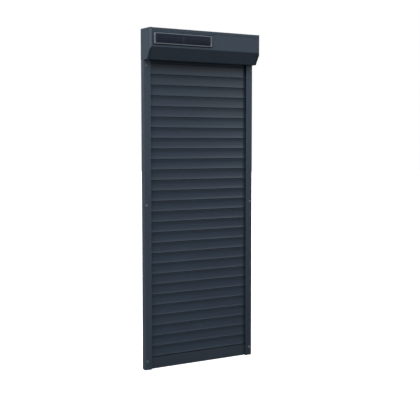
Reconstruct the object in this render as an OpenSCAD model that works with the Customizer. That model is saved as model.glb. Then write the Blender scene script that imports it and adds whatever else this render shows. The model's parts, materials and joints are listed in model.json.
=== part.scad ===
// Exterior roller shutter with a solar panel: a chamfered box holding the winding tube,
// two guide rails, and a curtain of hooked slats that ends in a flat bottom bar.
// X runs along the width, Y points to the wall (the wall plane is y = 0) and Z is up.
// The origin is the centre of the four outer wall fixings, on the wall plane.

/* [Curtain] */
// Number of slats
slat_count = 29; // [20:1:29]
// Height of one slat, joint to joint
slat_pitch = 70.4; // [60:0.1:80]
// Thickness of a slat over its curve
slat_t = 8; // [7:0.1:9]
// Depth of the slat's curve, hollow side to the front
slat_bow = 2.2; // [1.5:0.1:2.4]
// Thickness of a slat's skin
slat_wall = 1; // [0.8:0.05:1.2]
// Open height between two slats
slat_gap = 3; // [2:0.1:4]
// Radius of the bead on top of each slat
bead_r = 1.6; // [1.4:0.05:1.7]
// Thickness of the neck that carries the bead
neck_t = 1.2; // [1:0.05:1.6]
// Play between a bead and the cup around it
hook_play = 0.4; // [0.3:0.05:0.5]
// Height of the cup's centre above a slat's lower edge
hook_rise = 4.2; // [3.8:0.1:5]
// Gap between a slat's end and the bottom of the rail's channel
slat_end_gap = 4; // [3:0.5:8]
// Thickness of the plastic clip on a slat's end
clip_t = 1.8; // [1:0.1:2.5]
// Length of the clip's tongue inside the slat
clip_tongue = 12; // [6:1:20]

/* [Bottom bar] */
// Height from the foot to the joint under the lowest slat
bar_h = 83; // [65:1:100]
// Open height between the lowest slat and the bar
bar_gap = 6.5; // [4:0.5:8]
// Thickness of the bar
bar_t = 12; // [10:0.5:14]
// Wall of the bar's extrusion
bar_wall = 1.5; // [1.2:0.1:2]
// Visible height of the rubber under the bar
seal_show = 4; // [3:0.5:6]
// Radius of the rubber bulb
seal_r = 4.6; // [4:0.1:5]
// Gap between the bar's end and the mouth of the rail
bar_end_gap = 6; // [5:0.5:10]
// Thickness of the cover on the bar's end
bar_cap_t = 3; // [2:0.5:4]

/* [Box] */
// Width over the two cheeks
overall_w = 864; // [820:1:1200]
// Height of the box
box_h = 205; // [195:1:230]
// Depth of the box from the wall
box_d = 136; // [134:1:160]
// Height of the upright front face
front_h = 125; // [118:1:135]
// Depth of the flat underside from the wall
soffit_d = 86; // [80:1:95]
// Thickness of the folded sheet
sheet_t = 1.5; // [1:0.1:2]
// Thickness of a cheek's plate
cheek_t = 4; // [4:0.5:6]
// Width of the rim that wraps the sheets at each cheek
rim_w = 12; // [9:0.5:14]
// Thickness of that rim
rim_t = 1.6; // [1.4:0.1:2]
// Height of the top cover's front lip
lip_h = 21; // [14:1:22]
// Open height of the seam under the lip
seam_gap = 2; // [1:0.1:3]
// How far the hatch reaches up behind the lip
hatch_lap = 9; // [6:0.5:10]
// Height of the turned-up edge at the back of the hatch
hatch_lip = 14; // [10:1:18]
// Height that the topmost joint shows under the box
top_show = 19; // [12:1:30]

/* [Rails] */
// Width of a rail's face
rail_w = 50; // [48:1:60]
// Depth of a rail from the wall
rail_d = 42; // [34:1:46]
// Wall of the rail's extrusion
rail_wall = 1.8; // [1.4:0.1:2.2]
// Depth of the channel that takes the slats
channel_d = 22; // [20:0.5:25]
// How far each cheek stands out past its rail
rail_inset = 1.5; // [0.5:0.1:3]
// Thickness of the foot under each rail
foot_t = 4; // [3:0.5:6]
// Length of the foot's plug inside the rail
foot_plug = 22; // [10:1:30]
// Length of the cheek's spigot inside the rail
spigot_len = 24; // [15:1:26]
// Wall of the hollow spigot and foot plug
plug_wall = 3; // [2:0.5:4]
// Width of the lip seal's base
lip_base_w = 6.8; // [6:0.1:7.5]
// Thickness of the lip seal's base
lip_base_t = 1.2; // [1:0.1:1.6]
// Width of the lip itself
lip_w = 3.6; // [3:0.1:4.2]
// Thickness of the ribs that hold the seal
rib_t = 1.1; // [0.9:0.1:1.4]
// Height of the inlet guide over each rail
guide_h = 38; // [30:1:45]
// Height of the guide's straight throat
guide_throat = 12; // [8:1:16]
// Thickness of the guide's walls
guide_t = 2.4; // [2:0.1:3]

/* [Wall fixings] */
// Diameter of each fixing hole in the back of a rail
fix_hole_d = 6.5; // [5:0.1:8]
// Diameter of the access hole in the face of a rail
access_d = 14; // [12:0.5:16]
// Distance of the holes from the rail's outer side
fix_in = 16; // [15:0.5:18]
// Height of the lowest hole above the foot
fix_foot = 58; // [45:1:90]
// Distance of the highest hole below the box
fix_top = 37; // [36:1:60]
// Height of the middle hole above the foot
fix_mid = 1113; // [900:1:1200]
// Diameter of the cap over each access hole
cap_d = 18; // [17:0.5:20]
// Height of that cap
cap_h = 2.6; // [2:0.1:3.5]

/* [Winding] */
// Distance of the tube's axis from the wall
axis_d = 68; // [67:0.5:72]
// Height of the tube's axis above the box's underside
axis_up = 100; // [98:1:105]
// Tube size across the flats of its octagon
tube_af = 40; // [40:0.5:42]
// Wall of the tube
tube_wall = 1.2; // [1:0.1:1.4]
// Diameter of the tubular motor
motor_d = 35; // [34:0.1:35.4]
// Length of the motor's body
motor_len = 450; // [380:1:480]
// Diameter of the motor's head
head_d = 44; // [42:0.5:48]
// Length of the motor's head
head_len = 26; // [20:1:32]
// Side of the square stub that holds the motor's head
stub_w = 16; // [12:0.5:18]
// Diameter of the motor's output shaft
shaft_d = 10; // [8:0.5:12]
// Width of the drive wheel and of the crown ring's sleeve
wheel_w = 20; // [14:1:26]
// Thickness of the flanges at the tube's ends
flange_t = 3; // [2:0.5:4]
// How far the flanges stand out past the tube's flats
flange_rim = 3; // [2:0.5:4]
// Length of the idler plug inside the tube
plug_len = 60; // [40:1:90]
// Diameter of the idler pin
pin_d = 12; // [10:0.5:14]
// Outer diameter of the idler bearing
bearing_d = 28; // [26:0.5:30]
// Width of the idler bearing
bearing_w = 8; // [7:0.5:9]
// Thickness of both bracket plates
bracket_t = 4; // [3:0.5:5]
// Side of the square bracket plates
bracket_w = 66; // [64:1:72]
// Half the spacing of the bracket's screws
bracket_screw = 25; // [24:0.5:27]
// Height of the collars on both brackets
collar_h = 8; // [8:0.5:10]

/* [Locks] */
// Distance of each lock from the middle of the tube
lock_x = 240; // [180:1:300]
// Width of a lock's clip round the tube
lock_w = 24; // [22:1:30]
// Thickness of that clip
lock_t = 2.5; // [2:0.1:3]
// Diameter of the lock's hinge pin
lock_pin_d = 4.8; // [4:0.1:5.2]
// Width of the link between the clip's ears
link_w = 12; // [10:0.5:14]
// Thickness of the link
link_t = 5.6; // [5:0.1:6]
// Radius of the eyes round the hinge pin
lock_ear = 4.5; // [4:0.1:5]

/* [Solar panel] */
// Width of the panel
panel_w = 444; // [400:1:470]
// Height of the panel
panel_h = 74; // [60:1:78]
// Thickness of the panel's frame
panel_t = 6; // [5:0.5:9]
// Distance of the panel from the box's left end
panel_left = 26; // [20:1:40]
// Distance of the panel below the box's top
panel_down = 33; // [26:1:36]
// Width of the frame's side bars
bezel_side = 13; // [12:0.5:16]
// Width of the frame's top and bottom bars
bezel_edge = 7; // [5:0.5:9]
// Thickness of the frame's back
panel_back = 1.5; // [1:0.1:2]
// Thickness of the glass
glass_t = 3.2; // [2.5:0.1:3.4]

/* [Battery] */
// Diameter of the battery tube
battery_d = 26; // [22:0.5:28]
// Length of the battery tube
battery_len = 310; // [250:1:330]
// Distance of the battery from the left cheek
battery_left = 45; // [30:1:60]
// Wall of a battery clip
battery_clip_t = 3; // [2:0.5:4]
// Width of a battery clip
battery_clip_w = 20; // [15:1:30]
// Distance of the clips from the battery's ends
battery_clip_in = 60; // [40:1:100]

/* [Screws] */
// Diameter of the box screws
screw_d = 4; // [3.5:0.1:4.5]
// Diameter of a box screw's head
screw_head_d = 8; // [7:0.5:9]
// Height of a box screw's head
screw_head_h = 1.6; // [1.4:0.1:2]
// Depth of a box screw in what it grips
screw_grip = 3; // [2:0.5:3]
// Length of the lug on each cheek that takes the hatch's screw
lug_len = 24; // [22:1:30]
// Width of that lug
lug_w = 16; // [14:1:20]
// Height of that lug
lug_h = 8; // [6:0.5:10]
// Diameter of the panel screws
panel_screw_d = 3; // [2.5:0.1:3.2]
// Diameter of a panel screw's head
panel_screw_head_d = 6; // [5:0.5:7]
// Height of a panel screw's head
panel_screw_head_h = 1.5; // [1:0.1:2]

/* [Clearances] */
// Gap round plugs, tongues and screws
fit = 0.1; // [0.05:0.01:0.15]
// Radial gap of shafts that turn in a bore
run_fit = 0.05; // [0.02:0.01:0.08]
// Gap between pieces that slide past each other
slide_gap = 0.5; // [0.3:0.1:0.8]

/* [Hidden] */
$fn = 48;

// Straight stretches along each curved side of a slat
slat_steps = 8;

// Sides of the winding tube
tube_sides = 8;

// Heights, from the centre of the outer wall fixings
rail_len = bar_h + (slat_count - 1) * slat_pitch + top_show;
fix_span = rail_len - fix_foot - fix_top;
z_foot = -fix_foot - fix_span / 2;
z_box = z_foot + rail_len;
z_top = z_box + box_h;
z_seam = z_top - lip_h;
z_soffit = z_box + rim_t;
z_joint = z_foot + bar_h;
// Height of the bar's upper face above the foot
bar_top = bar_h + slat_gap / 2 - bar_gap;
fix_rows = [z_foot + fix_foot, z_foot + fix_mid, z_box - fix_top];

// Places across the width, on the right-hand side
x_end = overall_w / 2;
x_cheek = x_end - cheek_t;
x_rail = x_end - rail_inset;
x_channel = x_rail - rail_w + channel_d;
x_mouth = x_rail - rail_w;
x_slat = x_channel - slat_end_gap;
x_bar = x_mouth - bar_end_gap;
x_fix = x_rail - fix_in;

// Share of a slat's half height at which the cup lies, midway between the curved sides
hook_share = 1 - 2 * hook_rise / (slat_pitch - slat_gap);

// Places in depth
y_curtain = -rail_d / 2;
y_axis = -axis_d;
y_front = -box_d + rim_t;
y_hook = slat_bow * (1 / 2 - hook_share * hook_share);
y_hatch_back = -rail_d - 2 * slide_gap;
z_axis = z_box + axis_up;

// Section of the box, from the lower back corner round to the underside's front edge
box_outline = [
    [0, z_box],
    [0, z_top],
    [-box_d, z_top],
    [-box_d, z_top - front_h],
    [-soffit_d, z_box]
];

// Winding train, along X from the left bracket to the right one
x_collar = -x_cheek + bracket_t + collar_h;
x_head = x_collar + fit;
x_motor = x_head + head_len;
x_crown = x_motor + slide_gap;
x_tube_left = x_crown + flange_t;
x_motor_end = x_motor + motor_len;
bearing_seat_h = collar_h + bearing_w;
x_bearing = x_cheek - bracket_t - bearing_seat_h;
x_idler = x_bearing - slide_gap - flange_t;
tube_bore_af = tube_af - 2 * tube_wall;
tube_plug_af = tube_bore_af - 2 * fit;
flange_d = tube_af + 2 * flange_rim;

// Hooks between slats: the cup that holds a bead, and the slot that passes its neck
cup_r = bead_r + hook_play;
slot_w = neck_t + 2 * hook_play;
hook_z = slat_gap / 2 + hook_rise;

// Lip seals in the rail's mouth
groove_w = lip_base_w + 2 * fit;
groove_t = lip_base_t + 2 * fit;
groove_open = lip_w + 2 * fit;
lip_len = (rail_d - slat_t) / 2 - rail_wall - slide_gap;

// Locks: the hinge on the tube's clip and the bead of the topmost slat
lock_pin = [y_axis + tube_af / 2 + lock_t + link_t, z_axis - link_t / 2];
top_bead = [y_curtain + y_hook, z_joint + slat_count * slat_pitch + hook_z];

// Box screws: one through the hatch into a lug at each cheek, four at each bracket
lug_y = -soffit_d + lug_w;
x_lug_screw = x_end - rim_w - screw_head_d;

// Solar panel
panel_x0 = -x_end + panel_left;
panel_z1 = z_top - panel_down;
panel_z0 = panel_z1 - panel_h;
panel_screw_xs = [panel_x0 + bezel_side / 2, panel_x0 + panel_w - bezel_side / 2];
panel_screw_zs = [panel_z0 + bezel_side, panel_z1 - bezel_side];

// Battery, in the upper front corner of the box
battery_r = battery_d / 2;
y_battery = y_front + sheet_t + battery_clip_t + battery_r + screw_head_d / 2;
z_ceiling = z_top - rim_t - sheet_t;
z_battery = z_ceiling - battery_clip_t - battery_r;
x_battery = -x_cheek + battery_left;

// Half the width that the inlet guides leave for the curtain
guide_gap = slat_t / 2 + 2 * slide_gap;

slat_names = [for (i = [1:slat_count]) str("slat_", i < 10 ? "0" : "", i)];

// Left-hand normal of the line from a to b
function left_normal(a, b) = let (d = (b - a) / norm(b - a)) [-d[1], d[0]];

// Point p moved by t square to both lines that meet there
function mitre(p, n0, n1, t) = p + t * (n0 + n1) / (1 + n0 * n1);

// Closed outline moved inwards by t, for points that run counter-clockwise
function inset(points, t) = let (n = len(points)) [
    for (i = [0:n - 1])
        mitre(
            points[i],
            left_normal(points[(i + n - 1) % n], points[i]),
            left_normal(points[i], points[(i + 1) % n]),
            t
        )
];

// Open line moved to its left by t
function shifted(path, t) = let (last = len(path) - 1) [
    for (i = [0:last])
        mitre(
            path[i],
            left_normal(path[max(i - 1, 0)], path[max(i, 1)]),
            left_normal(path[min(i, last - 1)], path[min(i + 1, last)]),
            t
        )
];

// Outline of a sheet of thickness t folded along a line, with the line on its outer face
function folded(path, t) = let (inner = shifted(path, t), last = len(path) - 1)
    concat(path, [for (i = [last:-1:0]) inner[i]]);

// Outline of a straight strip of width t from a to b
function strip(a, b, t) = let (n = left_normal(a, b) * t / 2) [a - n, b - n, b + n, a + n];

// Curved side of a slat at depth y, from share a to share b of its half height
function slat_side(y, a, b) = [
    for (i = [0:slat_steps])
        let (s = a + (b - a) * i / slat_steps)
            [y - slat_bow * s * s, slat_pitch / 2 + s * (slat_pitch - slat_gap) / 2]
];

// Closed section between two curved sides, drawn in by the given skin
function slat_shell(skin, a, b) = concat(
    slat_side(slat_t / 2 - skin, a, b),
    slat_side(slat_bow - slat_t / 2 + skin, b, a)
);

// Hollow of a slat: it starts above the cup and ends below the neck
slat_half = (slat_pitch - slat_gap) / 2;
hollow_low = -1 + (hook_rise + cup_r + 2 * slat_wall) / slat_half;
hollow_high = 1 - 2 * slat_wall / slat_half;

// Prism along X from x0 to x1 of a section drawn as (Y, Z)
module along_x(x0, x1) {
    translate([x0, 0, 0])
        rotate([90, 0, 90])
            linear_extrude(height = x1 - x0)
                children();
}

// Cylinder along X from x0 to x1 on the tube's axis
module axle(x0, x1, d) {
    translate([x0, y_axis, z_axis])
        rotate([0, 90, 0])
            cylinder(h = x1 - x0, d = d);
}

// Octagonal prism along X from x0 to x1 on the tube's axis, with its size across flats
module octagon(x0, x1, af) {
    half_side = 180 / tube_sides;
    translate([x0, y_axis, z_axis])
        rotate([0, 90, 0])
            rotate([0, 0, half_side])
                cylinder(h = x1 - x0, d = af / cos(half_side), $fn = tube_sides);
}

// Box from one corner to the opposite one
module block(low, high) {
    translate(low)
        cube(high - low);
}

// The given shape of the right-hand side, and its mirror image on the left
module both_sides() {
    children();
    mirror([1, 0, 0])
        children();
}

// Neck and bead of the joint at z = 0, rooted that far below it in a slat or bar
module hook(root) {
    translate([y_hook, hook_z])
        circle(r = bead_r);
    translate([y_hook - neck_t / 2, -root])
        square([neck_t, root + hook_z]);
}

// Cup and slot, open downwards, that take the hook from the joint at z = 0
module cup() {
    translate([y_hook, hook_z])
        circle(r = cup_r);
    translate([y_hook - slot_w / 2, 0])
        square([slot_w, hook_z]);
}

// Section of one slat, with its lower joint at z = 0
module slat_section() {
    difference() {
        union() {
            polygon(slat_shell(0, -1, 1));
            translate([0, slat_pitch])
                hook(slat_gap);
        }
        cup();
        polygon(slat_shell(slat_wall, hollow_low, hollow_high));
    }
}

module slat(index) {
    color("#3a444d")
        translate([0, y_curtain, z_joint + index * slat_pitch])
            along_x(-x_slat, x_slat)
                slat_section();
}

// Plastic end of one slat: a plate over its end and a tongue in its hollow
module slat_end_clip(index) {
    tongue_fit = fit / slat_half;
    translate([0, y_curtain, z_joint + index * slat_pitch]) {
        along_x(x_slat, x_slat + clip_t)
            polygon(slat_shell(0, hollow_low, hollow_high));
        along_x(x_slat - clip_tongue, x_slat)
            polygon(slat_shell(slat_wall + fit, hollow_low + tongue_fit, hollow_high - tongue_fit));
    }
}

module slat_end_clips() {
    color("#1d2023")
        both_sides()
            for (i = [0:2:slat_count - 1])
                slat_end_clip(i);
}

// Slot under the bar: a throat and a wider head that hold the rubber
module seal_slot(gap) {
    throat = seal_r / 2;
    translate([-throat - gap, 0])
        square([2 * throat + 2 * gap, 2 * bar_wall]);
    translate([-seal_r + bar_wall / 2 - gap, bar_wall - gap])
        square([2 * seal_r - bar_wall + 2 * gap, bar_wall + 2 * gap]);
}

// Outline of the bar's body, from above the rubber to under the lowest joint
module bar_outline() {
    translate([-bar_t / 2, seal_show])
        square([bar_t, bar_top - seal_show]);
}

// Hollow of the bar, drawn in by an extra gap
module bar_hollow(gap) {
    low = seal_show + 3 * bar_wall + 2 * fit;
    inset_y = bar_wall + gap;
    translate([-bar_t / 2 + inset_y, low + inset_y])
        square([bar_t - 2 * inset_y, bar_top - low - 2 * inset_y]);
}

module end_bar() {
    color("#343d46")
        translate([0, y_curtain, z_foot])
            along_x(-x_bar, x_bar)
                difference() {
                    union() {
                        bar_outline();
                        translate([0, bar_h])
                            hook(bar_gap);
                    }
                    bar_hollow(0);
                    translate([0, seal_show])
                        seal_slot(fit);
                }
}

module bar_seal() {
    color("#17191b")
        translate([0, y_curtain, z_foot])
            along_x(-x_bar, x_bar) {
                translate([0, seal_show])
                    seal_slot(0);
                intersection() {
                    translate([0, seal_r])
                        circle(r = seal_r);
                    translate([-seal_r, 0])
                        square([2 * seal_r, seal_show]);
                }
            }
}

// Ends of the bar: a cover, a tongue that runs in the rail and a plug in the bar's hollow
module bar_end_caps() {
    tongue_low = seal_show + foot_t;
    color("#24292e")
        both_sides()
            translate([0, y_curtain, z_foot]) {
                along_x(x_bar, x_bar + bar_cap_t)
                    bar_outline();
                along_x(x_bar + bar_cap_t, x_slat)
                    translate([-slat_t / 2, tongue_low])
                        square([slat_t, bar_top - 2 * tongue_low]);
                along_x(x_bar - clip_tongue, x_bar)
                    bar_hollow(fit);
            }
}

// Rib pair on the front or back wall of the channel that grips a lip seal
module seal_ribs() {
    rib_h = groove_t + rib_t;
    groove_x = rib_t;
    for (x = [0, rib_t + groove_w])
        translate([x, 0])
            square([rib_t, rib_h]);
    for (x = [groove_x, groove_x + (groove_w + groove_open) / 2])
        translate([x, groove_t])
            square([(groove_w - groove_open) / 2, rib_t]);
}

// Section of the right-hand rail, with its mouth at x = 0 and the wall at y = 0
module rail_section() {
    difference() {
        translate([0, -rail_d])
            square([rail_w, rail_d]);
        translate([channel_d + rail_wall, -rail_d + rail_wall])
            square([rail_w - channel_d - 2 * rail_wall, rail_d - 2 * rail_wall]);
        translate([-rail_wall, -rail_d + rail_wall])
            square([channel_d + rail_wall, rail_d - 2 * rail_wall]);
    }
    translate([0, -rail_d + rail_wall])
        seal_ribs();
    translate([0, -rail_wall])
        mirror([0, 1])
            seal_ribs();
}

module rail() {
    difference() {
        translate([x_mouth, 0, z_foot + foot_t])
            linear_extrude(height = rail_len - foot_t)
                rail_section();
        for (z = fix_rows)
            translate([x_fix, 0, z]) {
                rotate([90, 0, 0])
                    cylinder(h = 3 * rail_wall, d = fix_hole_d, center = true);
                translate([0, -rail_d, 0])
                    rotate([90, 0, 0])
                        cylinder(h = 3 * rail_wall, d = access_d, center = true);
            }
    }
}

module right_rail() {
    color("#3b454e")
        rail();
}

module left_rail() {
    color("#3b454e")
        mirror([1, 0, 0])
            rail();
}

// One rubber lip: a flat base in the groove and a lip that reaches to the slats
module lip_seal_section() {
    translate([rib_t + fit, fit]) {
        square([lip_base_w, lip_base_t]);
        translate([(lip_base_w - lip_w) / 2, 0])
            square([lip_w, lip_len - fit]);
    }
}

module rail_lip_seals() {
    color("#141618")
        both_sides()
            translate([x_mouth, 0, z_foot + foot_t])
                linear_extrude(height = rail_len - foot_t) {
                    translate([0, -rail_d + rail_wall])
                        lip_seal_section();
                    translate([0, -rail_wall])
                        mirror([0, 1])
                            lip_seal_section();
                }
}

// Ring that fits the rail's screw chamber, from z0 to z1
module chamber_plug(z0, z1) {
    low = [x_channel + rail_wall + fit, -rail_d + rail_wall + fit, z0];
    high = [x_rail - rail_wall - fit, -rail_wall - fit, z1];
    wall = [plug_wall, plug_wall, -fit];
    difference() {
        block(low, high);
        block(low + wall, high - wall);
    }
}

module rail_feet() {
    notch = slat_t / 2 + 4 * slide_gap;
    color("#24292e")
        both_sides() {
            difference() {
                block([x_mouth, -rail_d, z_foot], [x_rail, 0, z_foot + foot_t]);
                block(
                    [x_mouth - rib_t, y_curtain - notch, z_foot - foot_t],
                    [x_channel, y_curtain + notch, z_foot + 2 * foot_t]
                );
            }
            chamber_plug(z_foot + foot_t, z_foot + foot_t + foot_plug);
        }
}

module rail_caps() {
    color("#48525b")
        both_sides()
            for (z = fix_rows)
                translate([x_fix, -rail_d, z])
                    rotate([90, 0, 0]) {
                        cylinder(h = cap_h, d1 = cap_d, d2 = cap_d - cap_h);
                        translate([0, 0, -2 * rail_wall])
                            cylinder(h = 2 * rail_wall, d = access_d - 2 * fit);
                    }
}

// Flared funnel over each rail: a lip on either side of the curtain and a web between them
module inlet_guides() {
    flare = rail_d / 2 - rim_t - sheet_t - guide_t - slide_gap;
    line = [[guide_gap, z_box], [guide_gap, z_box + guide_throat], [flare, z_box + guide_h]];
    color("#1d2023")
        both_sides()
            translate([0, y_curtain, 0]) {
                along_x(x_mouth, x_channel)
                    polygon(folded([for (i = [2:-1:0]) line[i]], guide_t));
                along_x(x_mouth, x_channel)
                    mirror([1, 0])
                        polygon(folded([for (i = [2:-1:0]) line[i]], guide_t));
                along_x(x_channel, x_channel + guide_t)
                    polygon([
                        [-guide_gap - guide_t, z_box],
                        [guide_gap + guide_t, z_box],
                        [guide_gap + guide_t, z_box + guide_throat],
                        [flare, z_box + guide_h],
                        [-flare, z_box + guide_h],
                        [-guide_gap - guide_t, z_box + guide_throat]
                    ]);
            }
}

// Rubber strip along the hatch's back edge that closes the inlet against the slats
module inlet_lip() {
    z_low = z_soffit + sheet_t;
    color("#141618")
        along_x(-x_mouth + slide_gap, x_mouth - slide_gap)
            block_section(
                [y_hatch_back, z_low],
                [y_curtain - slat_t / 2 - slide_gap, z_low + lip_w]
            );
}

// Rectangle between two corners
module block_section(low, high) {
    translate(low)
        square(high - low);
}

// Cheek on the right-hand side, with the holes for its bracket's screws
module cheek() {
    x_ledge = x_channel + guide_t + slide_gap;
    difference() {
        union() {
            along_x(x_cheek, x_end)
                polygon(box_outline);
            along_x(x_end - rim_w, x_end)
                difference() {
                    polygon(box_outline);
                    polygon(inset(box_outline, rim_t));
                }
            block(
                [x_ledge, -rail_d, z_box],
                [x_cheek, -rim_t - sheet_t - fit, z_box + cheek_t]
            );
            chamber_plug(z_box - spigot_len, z_box);
            block(
                [x_cheek - lug_len, lug_y - lug_w / 2, z_soffit + sheet_t],
                [x_cheek, lug_y + lug_w / 2, z_soffit + sheet_t + lug_h]
            );
        }
        for (y = [-bracket_screw, bracket_screw], z = [-bracket_screw, bracket_screw])
            translate([x_cheek - fit, y_axis + y, z_axis + z])
                rotate([0, 90, 0])
                    cylinder(h = screw_grip + 2 * fit, d = screw_d + 2 * fit);
        translate([x_lug_screw, lug_y, z_soffit])
            cylinder(h = sheet_t + screw_grip + fit, d = screw_d + 2 * fit);
    }
}

module right_cheek() {
    color("#4a545d")
        cheek();
}

module left_cheek() {
    color("#4a545d")
        mirror([1, 0, 0])
            cheek();
}

// Back, top and front lip of the box, folded from one sheet
module top_cover() {
    outer = inset(box_outline, rim_t);
    color("#3e4852")
        along_x(-x_cheek + fit, x_cheek - fit)
            polygon(folded([outer[0], outer[1], outer[2], [y_front, z_seam]], sheet_t));
}

// Front of the box below the seam: upright face, chamfer and underside, with a tucked-in top edge
module front_hatch() {
    outer = inset(box_outline, rim_t);
    tuck = sheet_t + fit;
    line = [
        [y_front + tuck, z_seam + hatch_lap],
        [y_front + tuck, z_seam - seam_gap],
        [y_front, z_seam - seam_gap - tuck],
        outer[3],
        outer[4],
        [y_hatch_back, z_soffit],
        [y_hatch_back, z_soffit + hatch_lip]
    ];
    color("#3c4650")
        difference() {
            along_x(-x_cheek + fit, x_cheek - fit)
                polygon(folded(line, sheet_t));
            both_sides()
                translate([x_lug_screw, lug_y, z_soffit - fit])
                    cylinder(h = sheet_t + 2 * fit, d = screw_d + 2 * fit);
            for (x = panel_screw_xs, z = panel_screw_zs)
                translate([x, y_front + sheet_t + fit, z])
                    rotate([90, 0, 0])
                        cylinder(h = sheet_t + 2 * fit, d = panel_screw_d + 2 * fit);
        }
}

// Pan-head screw along Z, with its head below z = 0
module screw(grip) {
    translate([0, 0, -screw_head_h])
        cylinder(h = screw_head_h, d = screw_head_d);
    cylinder(h = grip, d = screw_d);
}

module box_screws() {
    color("#9aa1a7")
        both_sides() {
            translate([x_lug_screw, lug_y, z_soffit])
                screw(sheet_t + screw_grip);
            for (y = [-bracket_screw, bracket_screw], z = [-bracket_screw, bracket_screw])
                translate([x_cheek - bracket_t, y_axis + y, z_axis + z])
                    rotate([0, 90, 0])
                        screw(bracket_t + screw_grip);
        }
}

// Square plate on a cheek, bored for its four screws, on the right-hand side
module bracket_plate() {
    half = bracket_w / 2;
    difference() {
        block(
            [x_cheek - bracket_t, y_axis - half, z_axis - half],
            [x_cheek, y_axis + half, z_axis + half]
        );
        for (y = [-bracket_screw, bracket_screw], z = [-bracket_screw, bracket_screw])
            translate([x_cheek - bracket_t - fit, y_axis + y, z_axis + z])
                rotate([0, 90, 0])
                    cylinder(h = bracket_t + 2 * fit, d = screw_d + 2 * fit);
    }
}

// Square bar along X on the tube's axis
module square_bar(x0, x1, side) {
    block([x0, y_axis - side / 2, z_axis - side / 2], [x1, y_axis + side / 2, z_axis + side / 2]);
}

module motor_bracket() {
    color("#8d959b")
        difference() {
            union() {
                mirror([1, 0, 0])
                    bracket_plate();
                square_bar(-x_cheek + bracket_t, x_collar, stub_w * 2);
            }
            square_bar(-x_cheek - fit, x_collar + fit, stub_w + 2 * fit);
        }
}

// Tubular motor: a stub held by the bracket, a head, and a body with the output shaft's bore
module tube_motor() {
    color("#c9ccce")
        difference() {
            union() {
                square_bar(-x_cheek + bracket_t, x_head, stub_w);
                axle(x_head, x_motor, head_d);
                axle(x_motor, x_motor_end, motor_d);
            }
            axle(x_motor_end - wheel_w, x_motor_end + fit, shaft_d + 2 * run_fit);
        }
}

module bearing_bracket() {
    color("#8d959b")
        difference() {
            union() {
                bracket_plate();
                axle(x_bearing, x_cheek - bracket_t, bearing_d + 2 * bracket_t);
            }
            axle(x_bearing - fit, x_bearing + bearing_w, bearing_d + 2 * fit);
            axle(x_bearing, x_cheek + fit, pin_d + 2 * slide_gap);
        }
}

module idler_bearing() {
    color("#c2c7cb")
        difference() {
            axle(x_bearing, x_bearing + bearing_w, bearing_d);
            axle(x_bearing - fit, x_bearing + bearing_w + fit, pin_d + 2 * run_fit);
        }
}

module winding_tube() {
    color("#aab0b5")
        difference() {
            octagon(x_tube_left, x_idler, tube_af);
            octagon(x_tube_left - fit, x_idler + fit, tube_bore_af);
        }
}

// Ring that turns on the motor's body and carries the tube's left end
module crown_ring() {
    color("#2b2f33")
        difference() {
            union() {
                axle(x_crown, x_tube_left, flange_d);
                octagon(x_tube_left, x_tube_left + wheel_w, tube_plug_af);
            }
            axle(x_crown - fit, x_tube_left + wheel_w + fit, motor_d + 2 * run_fit);
        }
}

// Wheel on the motor's output shaft that turns the tube
module drive_wheel() {
    x_wheel = x_motor_end + flange_t;
    color("#2b2f33") {
        octagon(x_wheel, x_wheel + wheel_w, tube_plug_af);
        axle(x_motor_end - wheel_w + flange_t, x_wheel, shaft_d);
    }
}

// Plug in the tube's right end, with the pin that runs in the bearing
module idler_plug() {
    color("#2b2f33") {
        octagon(x_idler - plug_len, x_idler, tube_plug_af);
        axle(x_idler, x_idler + flange_t, flange_d);
        axle(x_idler + flange_t, x_bearing + bearing_w, pin_d);
    }
}

// Clip round the tube with two ears and the hinge pin of one lock, from x0 on
module lock_clip(x0) {
    ear_t = (lock_w - link_w) / 2 - slide_gap;
    difference() {
        octagon(x0, x0 + lock_w, tube_af + 2 * lock_t);
        octagon(x0 - fit, x0 + lock_w + fit, tube_af + 2 * fit);
    }
    for (x = [x0, x0 + lock_w - ear_t])
        along_x(x, x + ear_t) {
            translate(lock_pin)
                circle(r = lock_ear);
            block_section(
                [y_axis + tube_af / 2 + fit, lock_pin[1] - lock_ear],
                [lock_pin[0], lock_pin[1] + lock_ear]
            );
        }
    translate([x0, lock_pin[0], lock_pin[1]])
        rotate([0, 90, 0])
            cylinder(h = lock_w, d = lock_pin_d);
}

module lock_clips() {
    color("#2b2f33")
        for (x = [-lock_x, lock_x])
            lock_clip(x - lock_w / 2);
}

// Link of one lock: an eye on the clip's pin and a cup on the topmost slat's bead
module lock_link_section() {
    foot_h = hook_rise + cup_r + 2 * slat_wall;
    difference() {
        union() {
            translate(lock_pin)
                circle(r = lock_ear);
            polygon(strip(lock_pin, top_bead + [0, cup_r], link_t));
            block_section(
                top_bead - [link_t / 2, hook_rise],
                top_bead + [link_t / 2, foot_h - hook_rise]
            );
        }
        translate(lock_pin)
            circle(d = lock_pin_d + 2 * run_fit);
        translate(top_bead - [y_hook, hook_z])
            cup();
    }
}

module lock_links() {
    color("#2b2f33")
        for (x = [-lock_x, lock_x])
            along_x(x - link_w / 2, x + link_w / 2)
                lock_link_section();
}

// Plate of the solar panel between two depths behind its front, drawn in at its edges
module panel_plate(y0, y1, side, edge) {
    block(
        [panel_x0 + side, y0, panel_z0 + edge],
        [panel_x0 + panel_w - side, y1, panel_z1 - edge]
    );
}

module panel_frame() {
    color("#59636c")
        difference() {
            panel_plate(y_front - panel_t, y_front, 0, 0);
            panel_plate(y_front - 2 * panel_t, y_front - panel_back, bezel_side, bezel_edge);
            for (x = panel_screw_xs, z = panel_screw_zs)
                translate([x, y_front + fit, z])
                    rotate([90, 0, 0]) {
                        cylinder(h = panel_t, d = panel_screw_d + 2 * fit);
                        translate([0, 0, panel_t - panel_screw_head_h])
                            cylinder(h = panel_t, d = panel_screw_head_d + 2 * fit);
                    }
        }
}

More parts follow.
